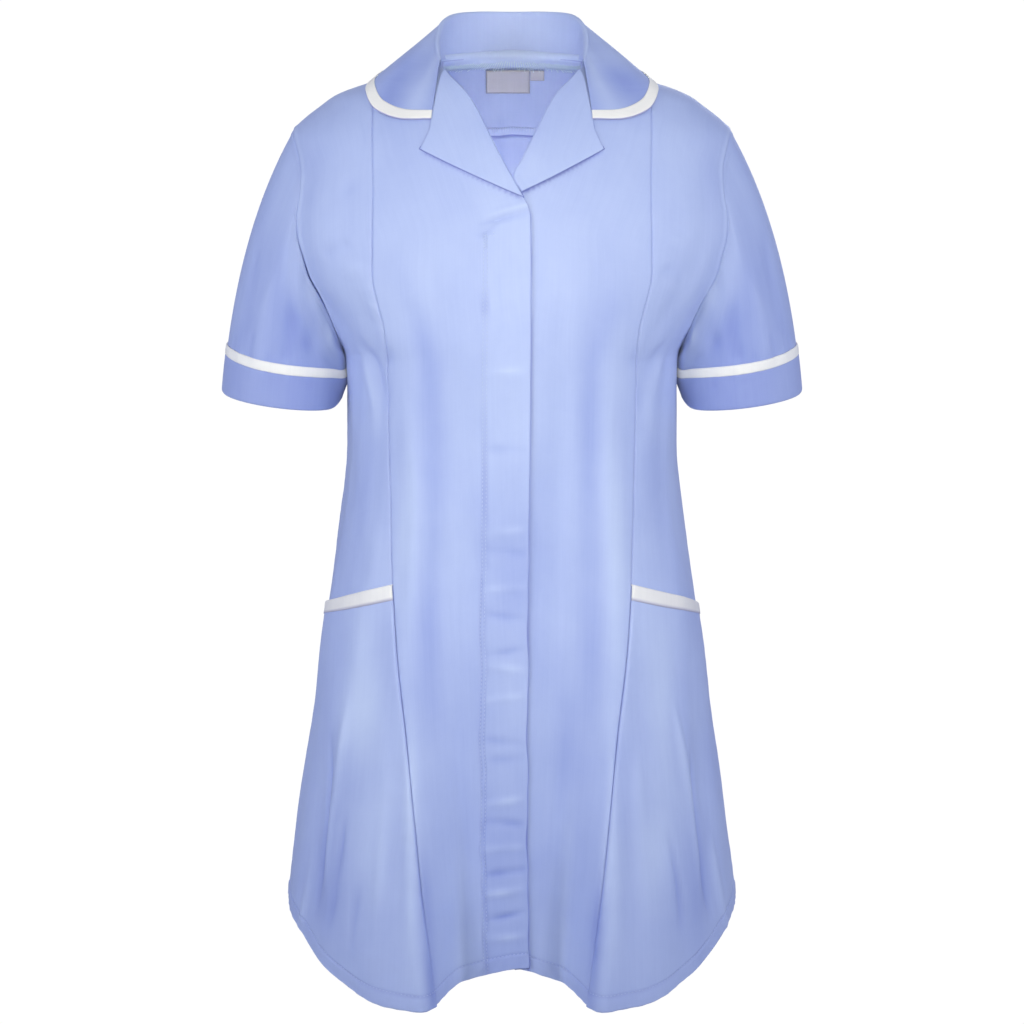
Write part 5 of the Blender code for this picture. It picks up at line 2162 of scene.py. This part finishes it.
@dataclass
class NeckInside:
    """What shows inside the back of the neck: overlocked turnings, a blank label and a blank size tab."""

    seam_cut: Cut = Cut((0.20, 0.026), 0.004, "folded")
    yoke_cut: Cut = Cut((0.40, 0.02), 0.0042, "folded")
    label_sides: Pair = (-24.0, 16.4)
    label_drops: Pair = (10.6, 31.5)
    tab_sides: Pair = (16.8, 29.6)
    tab_drops: Pair = (10.6, 19.8)
    label_wall: float = 0.5
    label_sag: float = 0.5
    seam_rows: Pair = (0.04, 1.0)
    seam_inset: float = 1.5
    seam_tone: float = 2.4
    seam_hidden: float = 6.0
    yoke_rows: Pair = (3.66, 3.97)
    yoke_inset: float = 0.9
    rows: int = 9
    slack: float = 0.35
    tone: float = 0.6
    thread_pitch: float = 2.4
    thread: float = 0.6
    thread_over: float = 0.85
    tuft: float = 0.7
    tuft_seed: int = 7

    def turning(self, ends: Pair, columns: slice, inset: float) -> Cloth:
        """A seam's turning, pressed flat on the inside of the back.

        Args:
            ends: the lattice rows at its top and foot.
            columns: the part of the back that it crosses.
            inset: how far inside the back it lies.

        Returns:
            The strip.
        """
        rows = np.linspace(*ends, num=self.rows)
        turn, drop = (grid[:, columns] for grid in back_grid(rows, np.linspace(0, 1, 61)))
        panel = Laid(turn, drop)
        outward = -panel.outward
        slack = self.slack * np.sin(panel.across / 6.1) * np.linspace(0, 1, self.rows)[:, None]
        points = panel.base + (inset + slack - panel.lift)[..., None] * outward
        return Cloth(points, outward, tones=np.full(drop.shape, self.tone))

    def overlock(self, stitches: Stitches, sheet: Cloth, rows: int, fray: float) -> None:
        """Threads over the raw edge at the foot of a strip, with loops along the edge and frayed tufts.

        Args:
            stitches: the threads to add to.
            sheet: the strip.
            rows: how many of the strip's rows the threads go up.
            fray: how many tufts there are, as a share of the most.
        """
        draw = np.random.default_rng(self.tuft_seed)
        foot, top = sheet.points[-1], sheet.points[-1 - rows]
        swell = sheet.points[-1 - rows // 2] - (foot + top) / 2
        run = run_of(foot)
        for at in np.arange(1.0, run[-1] - 1.0, self.thread_pitch):
            at = at + draw.uniform(-0.2, 0.2)
            lines = (foot, sheet.outward[-1], top, swell)
            edge, out, above, bulge = (point_at(at, run, line) for line in lines)
            fall = (edge - above) / np.linalg.norm(edge - above)
            side = np.cross(fall, out)
            half = (edge - above) / 2 * draw.uniform(0.85, 1.05)
            face = edge + 0.42 * out
            stitches.stitch(face - half + bulge + 0.35 * out, half + 0.25 * side, out, self.thread_over)
            loop = 0.7 * side * draw.choice([-1, 1]) + 0.6 * fall
            stitches.stitch(face + 0.1 * fall, loop, out, self.thread)
            ends = 0.5 + 0.5 * np.cos(2 * np.pi * at / run[-1])
            if draw.uniform() < fray * (0.4 + 0.6 * ends):
                hang = fall * draw.uniform(0.9, 2.2) + side * draw.uniform(-0.8, 0.8) + 0.3 * out
                stitches.stitch(face + hang, hang, out, self.tuft)

    def build(self, finishes: Finishes) -> None:
        """Makes the strips, the label and the tab."""
        overlock = Stitches("neck_overlock")
        sheet = self.turning(self.seam_rows, slice(62, -62), self.seam_inset)
        points, outward = sheet.points, sheet.outward
        above = points[:1] + np.array([0.0, 0.0, self.seam_hidden]) - 0.7 * outward[:1]
        sheet = Cloth(np.concatenate([above, points]), np.concatenate([outward[:1], outward]))
        sheet.tones[:] = self.seam_tone
        sew_on("neck_seam_cloth", sheet, finishes.blue)
        self.overlock(overlock, sheet, 6, 1.0)
        sheet = self.turning(self.yoke_rows, slice(8, -8), self.yoke_inset)
        sheet.lines[-2:] = 0.9
        sew_on("yoke_seam_cloth", sheet, finishes.blue, dresses=False)
        overlock.finish(finishes.pale_thread)
        overlock = Stitches("yoke_overlock")
        self.overlock(overlock, sheet.upside_down(), 5, 0.0)
        overlock.finish(finishes.blue_thread)
        for name, sides, drops in (
            ("neck_label", self.label_sides, self.label_drops),
            ("size_tab", self.tab_sides, self.tab_drops),
        ):
            x, drop = np.meshgrid(np.linspace(*sides, num=24), np.linspace(*drops, num=14))
            turn = 180 - FORM.turn_at(x, drop)
            outward = -FORM.outward(turn, drop)
            sag = self.label_sag * np.sin(np.pi * (drop - drops[0]) / (drops[1] - drops[0]))
            points = FORM.place(turn, drop) + (LAYER + 0.6 + sag)[..., None] * outward
            sew_on(f"{name}_tape", Cloth(points, outward), finishes.tape, self.label_wall)


@dataclass(frozen=True)
class Softbox:
    """A softbox, which the camera doesn't see. Its spread is the degrees that its light fans out over."""

    name: str
    place: Triple
    aim: Triple
    size: Pair
    watts: float
    colour: Colour = (1.0, 1.0, 1.0)
    spread: float = 180.0

    def build(self) -> None:
        """Sets up the light."""
        light = bpy.data.lights.new(self.name, "AREA")
        light.shape = "RECTANGLE"
        light.size, light.size_y = self.size
        light.energy = self.watts
        light.color = self.colour
        light.spread = math.radians(self.spread)
        lamp = bpy.data.objects.new(self.name, light)
        lamp.location = self.place
        lamp.visible_camera = False
        lamp.rotation_euler = (Vector(self.aim) - Vector(self.place)).to_track_quat("-Z", "Y").to_euler()
        bpy.context.collection.objects.link(lamp)


COOL = (0.92, 0.96, 1.12)
WARM = (1.0, 0.95, 0.70)
FRONT_LIGHT = (0.98, 0.965, 0.58)
LIGHTS = (
    Softbox("front softbox", (-0.1, -2.4, 0.15), (0, 0, -0.22), (1.1, 1.1), 2.07, FRONT_LIGHT, 70),
    Softbox("centre strip", (0.0, -2.1, 0.20), (0, -0.1, -0.21), (0.1, 0.62), 0.26, WARM, 18),
    Softbox("inside light", (0.0, -0.02, -0.15), (0, 0.09, -0.07), (0.08, 0.05), 0.105, COOL),
    Softbox("left softbox", (-1.7, -1.3, 0.0), (0, 0, -0.42), (1.0, 1.0), 2.5, COOL, 60),
    Softbox("right softbox", (1.7, -1.3, 0.0), (0, 0, -0.42), (1.0, 1.0), 2.4, COOL, 60),
    Softbox("top softbox", (0.1, 0.1, 1.7), (0, 0, -0.2), (1.2, 1.2), 2),
    Softbox("rear softbox", (0.5, 2.4, 0.3), (0, 0, -0.42), (1.2, 1.2), 2.3, COOL, 60),
)


@dataclass(frozen=True)
class Studio:
    """A pale floor, soft light and the camera at the photograph's angle."""

    camera_place: Triple = (0.0, -2.2, 0.02)
    camera_pitch: float = 11.0
    lens: float = 86.3
    sensor: float = 36.0
    floor_drop: float = 0.95
    floor_radius: float = 30.0
    floor_colour: Colour = (0.55, 0.56, 0.58)
    floor_roughness: float = 0.9
    fill: float = 0.395
    fill_colour: Colour = (0.85, 0.91, 1.10)
    white: float = 1.02

    def bright_to_camera(self, tree: Tree, lit: Socket, output: str) -> None:
        """Makes a surface or the world plain white to the camera, and as it was for every other ray.

        Args:
            tree: the nodes of the surface or the world.
            lit: the shader that other rays meet.
            output: name of the node that it feeds.
        """
        glow = tree.nodes.new("ShaderNodeEmission" if output == "Material Output" else "ShaderNodeBackground")
        glow.inputs["Color"].default_value = (1.0, 1.0, 1.0, 1)
        glow.inputs["Strength"].default_value = self.white
        path = tree.nodes.new("ShaderNodeLightPath")
        mix = tree.nodes.new("ShaderNodeMixShader")
        tree.links.new(path.outputs["Is Camera Ray"], mix.inputs["Fac"])
        tree.links.new(lit, mix.inputs[1])
        tree.links.new(glow.outputs[0], mix.inputs[2])
        tree.links.new(mix.outputs["Shader"], tree.nodes[output].inputs["Surface"])

    def build_floor(self) -> None:
        """Makes the floor."""
        disc = bmesh.new()
        bmesh.ops.create_circle(disc, cap_ends=True, segments=96, radius=self.floor_radius)
        bmesh.ops.translate(disc, verts=disc.verts, vec=(0, 0, -self.floor_drop))
        data = bpy.data.meshes.new("floor")
        disc.to_mesh(data)
        disc.free()
        paint = bpy.data.materials.new("Pale floor")
        paint.use_nodes = True
        shader = paint.node_tree.nodes["Principled BSDF"]
        shader.inputs["Base Color"].default_value = (*self.floor_colour, 1)
        shader.inputs["Roughness"].default_value = self.floor_roughness
        self.bright_to_camera(paint.node_tree, shader.outputs["BSDF"], "Material Output")
        data.materials.append(paint)
        floor = bpy.data.objects.new("floor", data)
        bpy.context.collection.objects.link(floor)

    def build_world(self) -> None:
        """Makes the soft fill light from all round."""
        world = bpy.data.worlds.new("Studio")
        world.use_nodes = True
        sky = world.node_tree.nodes["Background"]
        sky.inputs["Color"].default_value = (*self.fill_colour, 1)
        sky.inputs["Strength"].default_value = self.fill
        self.bright_to_camera(world.node_tree, sky.outputs["Background"], "World Output")
        bpy.context.scene.world = world

    def build(self) -> None:
        """Makes the floor, the world, the lights and the camera."""
        self.build_floor()
        self.build_world()
        for light in LIGHTS:
            light.build()
        bpy.context.scene.view_settings.view_transform = "Standard"
        lens = bpy.data.cameras.new("camera")
        lens.lens = self.lens
        lens.sensor_width = self.sensor
        camera = bpy.data.objects.new("camera", lens)
        camera.location = self.camera_place
        camera.rotation_euler = (math.radians(90 - self.camera_pitch), 0, 0)
        bpy.context.collection.objects.link(camera)
        bpy.context.scene.camera = camera


def main() -> None:
    """Builds the tunic and the studio."""
    logging.basicConfig(level=logging.INFO, format="%(name)s: %(message)s")
    Studio().build()
    finishes = Finishes()
    for side in Side:
        for sewn in (Front, SideFront, Sleeve, Lapel, Pocket):
            sewn(side).build(finishes)
    for sewn in (Back, Collar, NeckInside):
        sewn().build(finishes)


if __name__ == "__main__":
    main()
